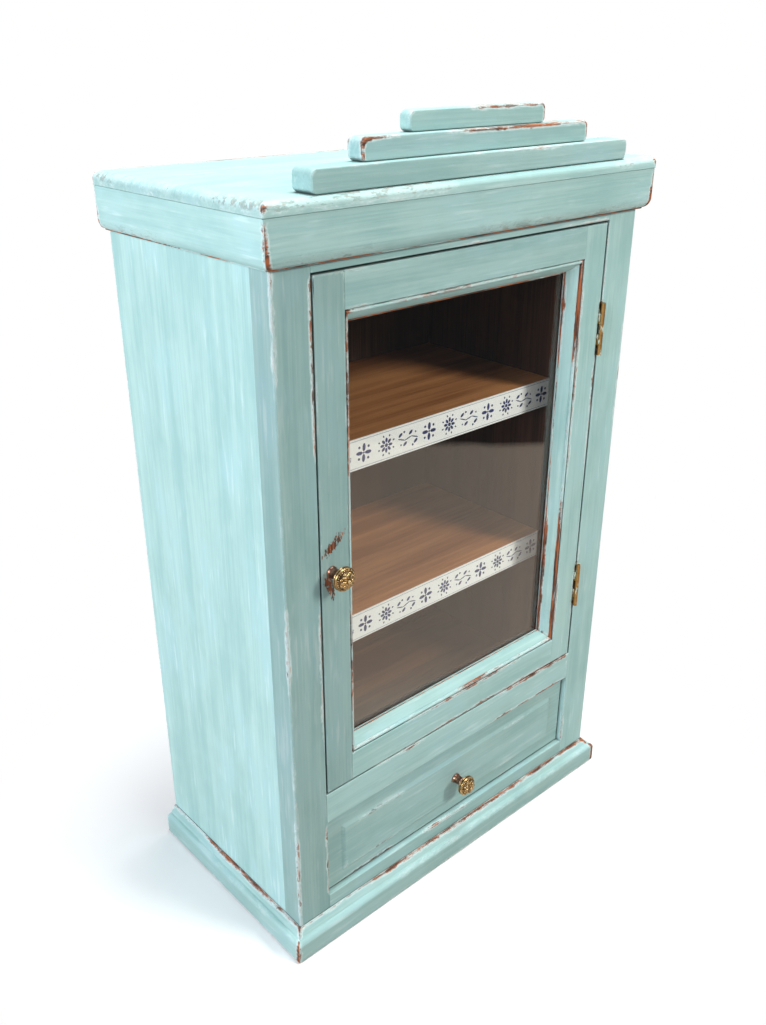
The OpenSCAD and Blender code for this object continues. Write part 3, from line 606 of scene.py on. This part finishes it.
# %% [markdown]
# ## Pieces that keep their solids
#
# The boards inside need no rounding, because they are seen through the glass or only when the door or
# drawer is open. They keep their solids and take a finish.

# %% Finishes on the inner boards and the metal
kept = {
    "lining_left": stain_and_shade_z, "lining_right": stain_and_shade_z, "display_floor": stain_x,
    "ceiling_board": stain_x, "base_board": bare_x, "shelf_upper": shelf_wood, "shelf_lower": shelf_wood,
    "drawer_runner_left": bare_y, "drawer_runner_right": bare_y, "drawer_stops": bare_y,
    "drawer_side_left": bare_y, "drawer_side_right": bare_y, "drawer_back": bare_x, "drawer_bottom": bare_x,
    "glass_beads": stain_and_shade_z, "glass_pane": glass, "door_magnet": steel, "strike_plate": steel,
    "hinge_upper_frame_leaf": hinge_brass, "hinge_lower_frame_leaf": hinge_brass, "hinge_pins": hinge_brass,
    "hinge_upper_door_leaf": hinge_brass, "hinge_lower_door_leaf": hinge_brass,
}
for name, material in kept.items():
    coat(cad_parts[name].data, material)
print("kept solids:", len(kept))

# %% [markdown]
# ## Geometry Nodes in short lines
#
# Small things that repeat are grown by Geometry Nodes: one is made, and a tree places the copies. As with
# the shader, a helper keeps the tree. Its sizes are named inputs, set on the modifier by the sockets'
# identifiers before the tree first runs, and the result is turned into a plain mesh.

# %% A helper that writes Geometry Nodes
class Recipe(Nodes):
    """A Geometry Nodes tree with named sizes as its inputs."""
    def __init__(self, name, **sizes):
        super().__init__(bpy.data.node_groups.new(name, "GeometryNodeTree"))
        sockets = self.tree.interface
        sockets.new_socket("Geometry", in_out="INPUT", socket_type="NodeSocketGeometry")
        sockets.new_socket("Geometry", in_out="OUTPUT", socket_type="NodeSocketGeometry")
        for key, value in sizes.items():
            kind = "NodeSocketInt" if isinstance(value, int) else "NodeSocketFloat"
            sockets.new_socket(key, in_out="INPUT", socket_type=kind).default_value = value
        self.given = self.add("NodeGroupInput").outputs
        self.end = self.add("NodeGroupOutput")

    def put(self, kind, wires, output=0, **settings):
        """Adds a node, feeds its inputs by name or number, and returns one output."""
        node = self.add(kind, **settings)
        for key, source in wires.items():
            for one in source if isinstance(source, list) else [source]:
                self.wire(one, node.inputs[key])
        return node.outputs[output]

    def point(self, x=0.0, y=0.0, z=0.0):
        return self.put("ShaderNodeCombineXYZ", {0: x, 1: y, 2: z})

    def scatter(self, points, shape, turn=(0, 0, 0)):
        return self.put("GeometryNodeInstanceOnPoints",
                        {"Points": points, "Instance": shape, "Rotation": turn})

    def random(self, low, high):
        return self.put("FunctionNodeRandomValue", {2: low, 3: high, "Seed": self.given["Seed"]}, output=1)

    def math(self, operation, a, b):
        return self.put("ShaderNodeMath", {0: a, 1: b}, operation=operation)

    def place(self, geometry, shift=(0, 0, 0), turn=(0, 0, 0), size=(1, 1, 1)):
        return self.put("GeometryNodeTransform", {"Geometry": geometry, "Translation": shift,
                                                  "Rotation": turn, "Scale": size})

    def join(self, parts):
        return self.put("GeometryNodeJoinGeometry", {"Geometry": parts[::-1]})

    def coat(self, geometry, material):
        return self.put("GeometryNodeSetMaterial", {"Geometry": geometry, "Material": material})

    def finish(self, geometry):
        real = self.put("GeometryNodeRealizeInstances", {"Geometry": geometry})
        self.tree.links.new(real, self.end.inputs[0])


def grow(name, recipe, mesh, **sizes):
    """Runs a recipe on a mesh and returns the result as a plain piece."""
    piece = bpy.data.objects.new(name, mesh)
    bpy.context.scene.collection.objects.link(piece)
    modifier = piece.modifiers.new("recipe", "NODES")
    modifier.node_group = recipe.tree
    for item in recipe.tree.interface.items_tree:
        if item.item_type == "SOCKET" and item.in_out == "INPUT" and item.name in sizes:
            modifier[item.identifier] = sizes[item.name]
    return plain_mesh(piece)


def solid_copy(node):
    mesh = bpy.data.meshes.new(node + "_copy")
    bm = merged_copy(node)
    bm.to_mesh(mesh)
    bm.free()
    return mesh


print("helper ready")

# %% [markdown]
# ## The printed strip on the shelf fronts
#
# A white strip with a thin grey line near each edge and small blue ornaments in a row. The ornaments here
# are a plain design of our own: a round flower, a leafy scroll and a cross of four petals, built from
# flattened discs. Each is made once, and three point rows, one for each, carry it along the shelf.

# %% Three small ornaments as lists of discs: (x, z, half width, half height, turn)
def ring_of(count, radius, wide, tall, first=0.0):
    """Discs round a centre, each with its long side pointing outwards."""
    angles = [first + 2 * math.pi * i / count for i in range(count)]
    return [(radius * math.cos(a), radius * math.sin(a), tall, wide, -a) for a in angles]


round_flower = [(0, 0, 0.075, 0.075, 0)]
round_flower += ring_of(8, 0.19, 0.055, 0.095) + ring_of(8, 0.37, 0.03, 0.045, 0.39)
scroll = [(-0.32, 0, 0.19, 0.022, 0.3), (0, 0, 0.19, 0.022, -0.3), (0.32, 0, 0.19, 0.022, 0.3),
          (-0.38, 0.18, 0.11, 0.055, -0.7), (-0.14, -0.19, 0.11, 0.055, -0.7), (0.12, 0.2, 0.11, 0.055, -0.7),
          (0.38, -0.17, 0.11, 0.055, -0.7), (-0.2, 0.27, 0.045, 0.045, 0), (0.24, -0.3, 0.045, 0.045, 0),
          (-0.34, -0.2, 0.035, 0.035, 0), (0.36, 0.18, 0.035, 0.035, 0)]
cross = ring_of(4, 0.2, 0.07, 0.15) + ring_of(4, 0.3, 0.05, 0.05, math.pi / 4) + [(0, 0, 0.04, 0.04, 0)]
ornaments = (round_flower, scroll, cross)
print("discs in each ornament:", [len(discs) for discs in ornaments])

# %% The recipe for the strip
ornament_size = 18.5 * mm
ink_depth = 0.1 * mm  # through the strip's face; each later disc is a little deeper than the one before
ink_step = 0.006 * mm
lean_limit = 0.08
line_width, line_inset, line_end_gap = 0.35 * mm, 1.3 * mm, 0.4 * mm
strip_recipe = Recipe("printed_strip", Left=0.0, Right=0.0, Front=0.0, Middle=0.0, Height=0.0,
                      Pictures=4, Seed=3)


def picture(recipe, discs):
    parts = []
    for number, (x, z, wide, tall, turn) in enumerate(discs):
        disc = recipe.put("GeometryNodeMeshCylinder", {"Vertices": 10, "Radius": 1.0, "Depth": 1.0})
        flat = recipe.place(disc, turn=(quarter_turn, 0, 0))
        sized = recipe.place(flat, size=(wide * ornament_size, ink_depth + ink_step * number,
                                         tall * ornament_size))
        parts.append(recipe.place(sized, shift=(x * ornament_size, 0, z * ornament_size),
                                  turn=(0, turn, 0)))
    return recipe.coat(recipe.join(parts), blue_ink)


def picture_row(recipe, discs, number):
    """One ornament at every third place along the strip."""
    given = recipe.given
    rows = float(len(ornaments))
    length = recipe.math("SUBTRACT", given["Right"], given["Left"])
    step = recipe.math("DIVIDE", length, recipe.math("MULTIPLY", given["Pictures"], rows))
    first = recipe.math("ADD", given["Left"], recipe.math("MULTIPLY", step, number + 0.5))
    start = recipe.point(first, given["Front"], given["Middle"])
    gap = recipe.point(recipe.math("MULTIPLY", step, rows))
    row = recipe.put("GeometryNodeMeshLine",
                     {"Count": given["Pictures"], "Start Location": start, "Offset": gap})
    turn = recipe.point(y=recipe.random(-lean_limit, lean_limit))
    return recipe.scatter(row, picture(recipe, discs), turn)


def border(recipe, side):
    given = recipe.given
    length = recipe.math("SUBTRACT", given["Right"], given["Left"])
    size = recipe.point(recipe.math("SUBTRACT", length, line_end_gap), 0.06 * mm, line_width)
    middle = recipe.math("MULTIPLY", recipe.math("ADD", given["Left"], given["Right"]), 0.5)
    reach = recipe.math("SUBTRACT", recipe.math("MULTIPLY", given["Height"], 0.5), line_inset)
    height = recipe.math("ADD", given["Middle"], recipe.math("MULTIPLY", reach, side))
    line = recipe.put("GeometryNodeMeshCube", {"Size": size})
    return recipe.coat(recipe.place(line, shift=recipe.point(middle, given["Front"], height)), grey_ink)


strip_recipe.finish(strip_recipe.join(
    [strip_recipe.coat(strip_recipe.given["Geometry"], paper)]
    + [picture_row(strip_recipe, discs, number) for number, discs in enumerate(ornaments)]
    + [border(strip_recipe, side) for side in (-1.0, 1.0)]))
for number, name in enumerate(("shelf_edging_upper", "shelf_edging_lower")):
    low, high = boxes[name]
    strip = grow(name + "_printed", strip_recipe, solid_copy(name), Left=low.x, Right=high.x, Front=low.y,
                 Middle=(low.z + high.z) / 2, Height=high.z - low.z, Pictures=4, Seed=3 + number)
    hand_over(strip, "case", name)
    print(name, "has", len(strip.data.polygons), "faces")

# %% [markdown]
# ## The knobs
#
# A turned stem in a coppery tone carries a brass head: two rings, a row of small beads and a pressed
# flower on the dome. The turned part is a profile carried round in small steps. The petals and beads are
# one of each, repeated round the axis by Geometry Nodes.

# %% Turned profile of a knob: (radius, height above the wood), in mm
stem_profile = [(0, 0), (3.7, 0), (4.05, 0.4), (4.05, 0.9), (3.75, 1.3), (3.5, 2.4), (3.35, 4.0),
                (3.3, 5.8), (3.35, 6.7), (3.75, 7.0), (3.95, 7.4), (3.75, 7.8), (3.45, 8.1),
                (3.5, 8.6), (3.9, 9.0)]
head_profile = [(4.9, 9.15), (5.9, 9.5), (6.7, 9.95), (7.1, 10.1), (7.6, 10.3), (7.9, 10.75),
                (7.97, 11.1), (7.8, 11.5), (7.35, 11.85), (7.8, 12.2), (7.95, 12.6), (7.85, 13.0),
                (7.5, 13.4), (7.1, 13.6), (6.75, 13.55), (6.2, 13.75), (5.7, 14.6), (5.0, 15.3),
                (4.0, 15.95), (2.6, 16.5), (1.2, 16.75), (0, 16.8)]
stem_top = 8.8 * mm


def turned(name, profile, steps=56):
    """A profile turned about Z as a closed mesh."""
    bm = bmesh.new()
    rings = []
    for radius, height in profile:
        if radius == 0:
            rings.append([bm.verts.new((0, 0, height * mm))])
            continue
        rings.append([bm.verts.new((radius * mm * math.cos(a), radius * mm * math.sin(a), height * mm))
                      for a in (2 * math.pi * i / steps for i in range(steps))])
    for under, over in zip(rings, rings[1:]):
        for i in range(steps):
            j = (i + 1) % steps
            corners = [under[i % len(under)], under[j % len(under)],
                       over[j % len(over)], over[i % len(over)]]
            bm.faces.new(list(dict.fromkeys(corners)))
    bmesh.ops.recalc_face_normals(bm, faces=bm.faces)
    for face in bm.faces:
        face.smooth = True
        face.material_index = 0 if face.calc_center_median().z < stem_top else 1
    mesh = bpy.data.meshes.new(name)
    bm.to_mesh(mesh)
    bm.free()
    mesh.materials.append(copper)
    mesh.materials.append(brass)
    return mesh


# %% Petals and beads round the axis, then the whole knob put on its wood
knob_recipe = Recipe("knob_flower", Petals=8, Beads=28, Across=0.0, Out=0.0, Up=0.0)


def round_the_axis(recipe, count, shape, half_step=0.0):
    same_place = recipe.put("GeometryNodeMeshLine", {"Count": count, "Offset": (0, 0, 0)})
    number = recipe.math("ADD", recipe.put("GeometryNodeInputIndex", {}), half_step)
    turn = recipe.math("DIVIDE", recipe.math("MULTIPLY", number, 2 * math.pi), count)
    return recipe.scatter(same_place, shape, recipe.point(z=turn))


def ball(recipe, shift, size, turn=(0, 0, 0)):
    round_ball = recipe.put("GeometryNodeMeshUVSphere", {"Segments": 12, "Rings": 8, "Radius": 1.0 * mm})
    smooth = recipe.put("GeometryNodeSetShadeSmooth", {"Geometry": round_ball})
    return recipe.place(smooth, shift=tuple(v * mm for v in shift), turn=turn, size=size)


given = knob_recipe.given
petal = ball(knob_recipe, (3.5, 0, 16.0), (2.0, 1.15, 0.75), (0, 0.28, 0))
small_petal = ball(knob_recipe, (5.1, 0, 15.05), (0.95, 1.0, 0.6), (0, 0.7, 0))
bead = ball(knob_recipe, (6.45, 0, 13.75), (0.55, 0.55, 0.5))
flower = [round_the_axis(knob_recipe, given["Petals"], petal),
          round_the_axis(knob_recipe, given["Petals"], small_petal, half_step=0.5),
          round_the_axis(knob_recipe, given["Beads"], bead),
          ball(knob_recipe, (0, 0, 16.7), (1.35, 1.35, 1.15))]
spot = knob_recipe.point(given["Across"], given["Out"], given["Up"])
whole = knob_recipe.join([given["Geometry"], knob_recipe.coat(knob_recipe.join(flower), brass)])
knob_recipe.finish(knob_recipe.place(whole, shift=spot, turn=(quarter_turn, 0, 0)))
for name, body in (("door_knob", "door"), ("drawer_knob", "drawer")):
    low, high = boxes[name]
    piece = grow(name + "_turned", knob_recipe, turned(name, stem_profile + head_profile),
                 Across=(low.x + high.x) / 2, Out=high.y, Up=(low.z + high.z) / 2)
    hand_over(piece, body, name)
    foremost = min(v.co.y for v in piece.data.vertices)
    print(name, "comes forward to, mm:", round(foremost / mm, 2), "of", round(low.y / mm, 2))

# %% [markdown]
# ## Screw slots and panel pins
#
# Each screw gets a slot across its head, turned at random as a screwdriver leaves it, and the back board
# is fixed with small pins driven just below its face. Both are cuts that repeat, so one recipe makes a
# cutter at every marked point and takes it away with a boolean. The marks are loose points in the same
# mesh, told apart by a number on each point.

# %% Recipes that cut at marked points
def marked_mesh(node, marks):
    mesh = solid_copy(node)
    bm = bmesh.new()
    bm.from_mesh(mesh)
    flag = bm.verts.layers.float.new("mark")
    for place in marks:
        bm.verts.new(place)[flag] = 1.0
    bm.to_mesh(mesh)
    bm.free()
    return mesh


def cutting_recipe(name, cutter, axis, material, filler=None, filler_material=None, **sizes):
    """Cuts a shape out at each marked point, turned about the axis, and may put another shape in."""
    recipe = Recipe(name, Seed=5, **sizes)
    mark = recipe.put("GeometryNodeInputNamedAttribute", {"Name": "mark"}, data_type="FLOAT")
    chosen = recipe.put("FunctionNodeCompare", {0: mark, 1: 0.5}, operation="GREATER_THAN")
    split = recipe.add("GeometryNodeSeparateGeometry", domain="POINT")
    recipe.tree.links.new(recipe.given["Geometry"], split.inputs[0])
    recipe.tree.links.new(chosen, split.inputs["Selection"])
    turn = recipe.put("ShaderNodeCombineXYZ", {axis: recipe.random(0.0, math.pi)})
    cuts = recipe.scatter(split.outputs[0], cutter(recipe), turn)
    cuts = recipe.put("GeometryNodeRealizeInstances", {"Geometry": cuts})
    solid = recipe.coat(split.outputs[1], material)
    parts = [recipe.put("GeometryNodeMeshBoolean", {"Mesh 1": solid, "Mesh 2": cuts},
                        operation="DIFFERENCE", solver="EXACT")]
    if filler:
        parts.append(recipe.coat(recipe.scatter(split.outputs[0], filler(recipe)), filler_material))
    recipe.finish(recipe.join(parts))
    return recipe


def loose_solids(node):
    """Box of each separate solid in a node, always in the same order."""
    bm = merged_copy(node)
    left = set(bm.verts)
    solids = []
    while left:
        group, front_line = set(), [left.pop()]
        while front_line:
            corner = front_line.pop()
            group.add(corner)
            for edge in corner.link_edges:
                other = edge.other_vert(corner)
                if other in left:
                    left.remove(other)
                    front_line.append(other)
        points = [c.co for c in group]
        solids.append((Vector([min(q[i] for q in points) for i in range(3)]),
                       Vector([max(q[i] for q in points) for i in range(3)])))
    bm.free()
    return sorted(solids, key=lambda box: [round(v, 5) for v in (*box[0], *box[1])])


print("hinge screws found:", len(loose_solids("hinge_screws_frame")))


# %% Slotted screws
def slot_cutter(along_axis):
    def cutter(recipe):
        sizes = [recipe.given["Slot length"], recipe.given["Slot width"]]
        sizes.insert(along_axis, recipe.given["Slot depth"])
        return recipe.put("GeometryNodeMeshCube", {"Size": recipe.point(*sizes)})
    return cutter


screw_sets = {  # body, axis of the screw, side of the head, slot length, width and depth in mm, metal
    "hinge_screws_frame": ("case", 0, 0, 4.9, 0.6, 1.0, hinge_brass),
    "hinge_screws_door": ("door", 0, 1, 4.9, 0.6, 1.0, hinge_brass),
    "door_knob_screw": ("door", 1, 1, 7.6, 0.9, 1.6, steel),
    "drawer_knob_screw": ("drawer", 1, 1, 7.6, 0.9, 1.6, steel),
}
for name, (body, axis, head_side, length, width, depth, metal) in screw_sets.items():
    marks = []
    for solid in loose_solids(name):
        middle = (solid[0] + solid[1]) / 2
        middle[axis] = solid[head_side][axis]
        marks.append(middle)
    slot_sizes = {"Slot length": length * mm, "Slot width": width * mm, "Slot depth": depth * mm}
    recipe = cutting_recipe("slots_of_" + name, slot_cutter(axis), axis, metal, **slot_sizes)
    piece = grow(name + "_slotted", recipe, marked_mesh(name, marks))
    hand_over(piece, body, name)
    print(name, "screws:", len(marks), "faces:", len(piece.data.polygons))


# %% Pins that hold the back board
def short_rod(recipe, radius, depth):
    return recipe.put("GeometryNodeMeshCylinder", {"Vertices": 16, "Radius": radius, "Depth": depth})


def pin_hole(recipe):
    return recipe.place(short_rod(recipe, recipe.given["Hole radius"], 1.0 * mm), turn=(quarter_turn, 0, 0))


def pin_head(recipe):
    head = short_rod(recipe, recipe.given["Head radius"], 0.6 * mm)
    return recipe.place(head, shift=(0, -0.42 * mm, 0), turn=(quarter_turn, 0, 0))


low, high = boxes["back_panel"]
inset, pins_down, pins_across = 4.5 * mm, 8, 5  # pins along each side, and between them at each end
marks = [(x, high.y, low.z + inset + (high.z - low.z - 2 * inset) * i / (pins_down - 1))
         for x in (low.x + inset, high.x - inset) for i in range(pins_down)]
marks += [(low.x + inset + (high.x - low.x - 2 * inset) * i / (pins_across + 1), high.y, z)
          for z in (low.z + inset, high.z - inset) for i in range(1, pins_across + 1)]
pin_sizes = {"Hole radius": 1.3 * mm, "Head radius": 1.15 * mm}
pin_recipe = cutting_recipe("back_pins", pin_hole, 1, back_wood, pin_head, steel, **pin_sizes)
piece = grow("back_panel_pinned", pin_recipe, marked_mesh("back_panel", marks))
hand_over(piece, "case", "back_panel")
print("pins:", len(marks), "faces:", len(piece.data.polygons))

# %% [markdown]
# ## Floor, light and camera
#
# The case stands on white paper. Near the case the paper is a matt white that takes the shadow; further
# out it fades to pure white, so no horizon shows. Bounced light sees it as a plain grey, so that the white
# adds no light. A large soft lamp hangs above, a cooler one stands at the left, and a small warm one in
# front. The glass mirrors the floor as a grey veil, and in mirrors the paper is tinted warm, a painted
# reflection colour; the veil's upper part stays clear, because a dark card that only mirrored light can
# see lies further out. The camera stands where the photograph was taken from.

# %% White floor
def stage_sheet(name, half_width, shift, material):
    bm = bmesh.new()
    bmesh.ops.create_grid(bm, x_segments=1, y_segments=1, size=half_width)
    bmesh.ops.translate(bm, verts=bm.verts, vec=shift)
    sheet = as_object(name, bm)
    coat(sheet.data, material)
    return sheet


fade_start, fade_end = 0.20, 0.34  # distance from the middle of the case, in metres
pure_white = (1.0, 1.0, 1.0, 1.0)


def white_paper():
    f = Finish("white_paper")
    f.surface.inputs["Roughness"].default_value = 0.8
    f.surface.inputs["Specular IOR Level"].default_value = 0.2
    distance = f.vector("DISTANCE", f.place, (0.0, 0.0, 0.0))
    path = f.add("ShaderNodeLightPath").outputs
    seen = f.math("MAXIMUM", path["Is Camera Ray"], path["Is Glossy Ray"])
    seen = f.math("MAXIMUM", seen, path["Is Transmission Ray"])
    far = f.math("MULTIPLY", f.soft(distance, fade_start, fade_end), seen)
    # Painted reflection: in mirrors the paper is tinted warm, which gives the glass and brass a warm
    # reflection.
    mirrored = f.math("MINIMUM", path["Glossy Depth"], 1.0)
    white = f.mix(mirrored, colour(250, 250, 249), colour(250, 234, 214))
    f.wire(f.mix(seen, colour(148, 146, 143), white), f.surface.inputs["Base Color"])
    light = f.add("ShaderNodeEmission")
    f.wire(f.mix(mirrored, pure_white, colour(255, 238, 220)), light.inputs["Color"])
    f.show(f.either(far, f.surface.outputs[0], light.outputs[0]))
    return f.material


floor = stage_sheet("floor", 12.0, (0, 0, 0), white_paper())
print("floor placed, width in m:", round(floor.dimensions.x, 2))

# %% Dark card that only mirrored light sees
card_edge_start, card_edge_end = 1.34, 1.40  # x - y where the card begins, in metres


def dark_cardboard():
    f = Finish("dark_card")
    f.surface.inputs["Base Color"].default_value = (0.004, 0.004, 0.005, 1.0)
    f.surface.inputs["Roughness"].default_value = 0.9
    outwards = f.vector("DOT_PRODUCT", f.place, (1.0, -1.0, 0.0))
    ripple = f.math("MULTIPLY", f.noise(f.place, 4.0, 2.0), 0.12)
    mirrored = f.math("MINIMUM", f.add("ShaderNodeLightPath").outputs["Glossy Depth"], 1.0)
    inside = f.soft(f.math("ADD", outwards, ripple), card_edge_start, card_edge_end)
    clear = f.add("ShaderNodeBsdfTransparent")
    f.show(f.either(f.math("MULTIPLY", inside, mirrored), clear.outputs[0], f.surface.outputs[0]))
    return f.material


card = stage_sheet("dark_card", 2.5, (2.4, -2.4, 4 * mm), dark_cardboard())
card.visible_camera = False
card.visible_diffuse = False
card.visible_shadow = False
print("card placed, its edge at x - y =", card_edge_start, "m")

# %% World and lamps
world = bpy.data.worlds.new("white_room")
bpy.context.scene.world = world
world.use_nodes = True
world.node_tree.nodes.clear()
sky = Nodes(world.node_tree)


def background(tint, strength):
    node = sky.add("ShaderNodeBackground")
    node.inputs["Color"].default_value = tint
    node.inputs["Strength"].default_value = strength
    return node.outputs[0]


# Light from the room is weak; the eye, mirrors and glass see plain white instead.
rays = sky.add("ShaderNodeLightPath").outputs
seen = rays["Is Camera Ray"]
for kind in ("Is Glossy Ray", "Is Transmission Ray"):
    most = sky.add("ShaderNodeMath", operation="MAXIMUM")
    sky.wire(seen, most.inputs[0])
    sky.wire(rays[kind], most.inputs[1])
    seen = most.outputs[0]
shown = sky.either(seen, background((0.96, 0.99, 1.0, 1.0), 0.17), background(pure_white, 1.0))
sky.wire(shown, sky.add("ShaderNodeOutputWorld").inputs["Surface"])


def look_along(holder, place, direction):
    holder.location = place
    holder.rotation_mode = "QUATERNION"
    holder.rotation_quaternion = Vector(direction).to_track_quat("-Z", "Y")
    bpy.context.scene.collection.objects.link(holder)


lamps = {  # place, aim, width in m, power in W, tint
    "lamp_above": ((0.2, -0.1, 1.9), (0, 0, 0.25), 0.8, 30.0, (0.96, 0.99, 1.0)),
    "lamp_left": ((-1.9, -0.26, 1.0), (0, 0, 0.3), 1.0, 41.0, (0.88, 0.92, 1.0)),
    "lamp_front_right": ((0.5, -1.3, 1.15), (0.05, -0.08, 0.25), 0.45, 16.0, (1.0, 0.96, 0.91)),
}
for name, (place, aim, width, power, tint) in lamps.items():
    lamp = bpy.data.lights.new(name, "AREA")
    lamp.shape = "DISK"
    lamp.size = width
    lamp.energy = power
    lamp.color = tint
    look_along(bpy.data.objects.new(name, lamp), place, Vector(aim) - Vector(place))
print("lamps, W:", {name: lamp[3] for name, lamp in lamps.items()})

# %% Camera
# Position and lens come from the straight edges of the case in the photograph.
focal_pixels, picture_height = 989.494, 1025.0
eye = bpy.data.cameras.new("camera")
eye.sensor_width = 36.0
eye.sensor_fit = "AUTO"
eye.lens = focal_pixels * eye.sensor_width / picture_height
camera = bpy.data.objects.new("camera", eye)
look_along(camera, (-0.45304, -0.49955, 0.58739), (0.60349, 0.67252, -0.42839))
bpy.context.scene.camera = camera
bpy.context.scene.view_settings.view_transform = "Standard"
print("lens, mm:", round(eye.lens, 3))
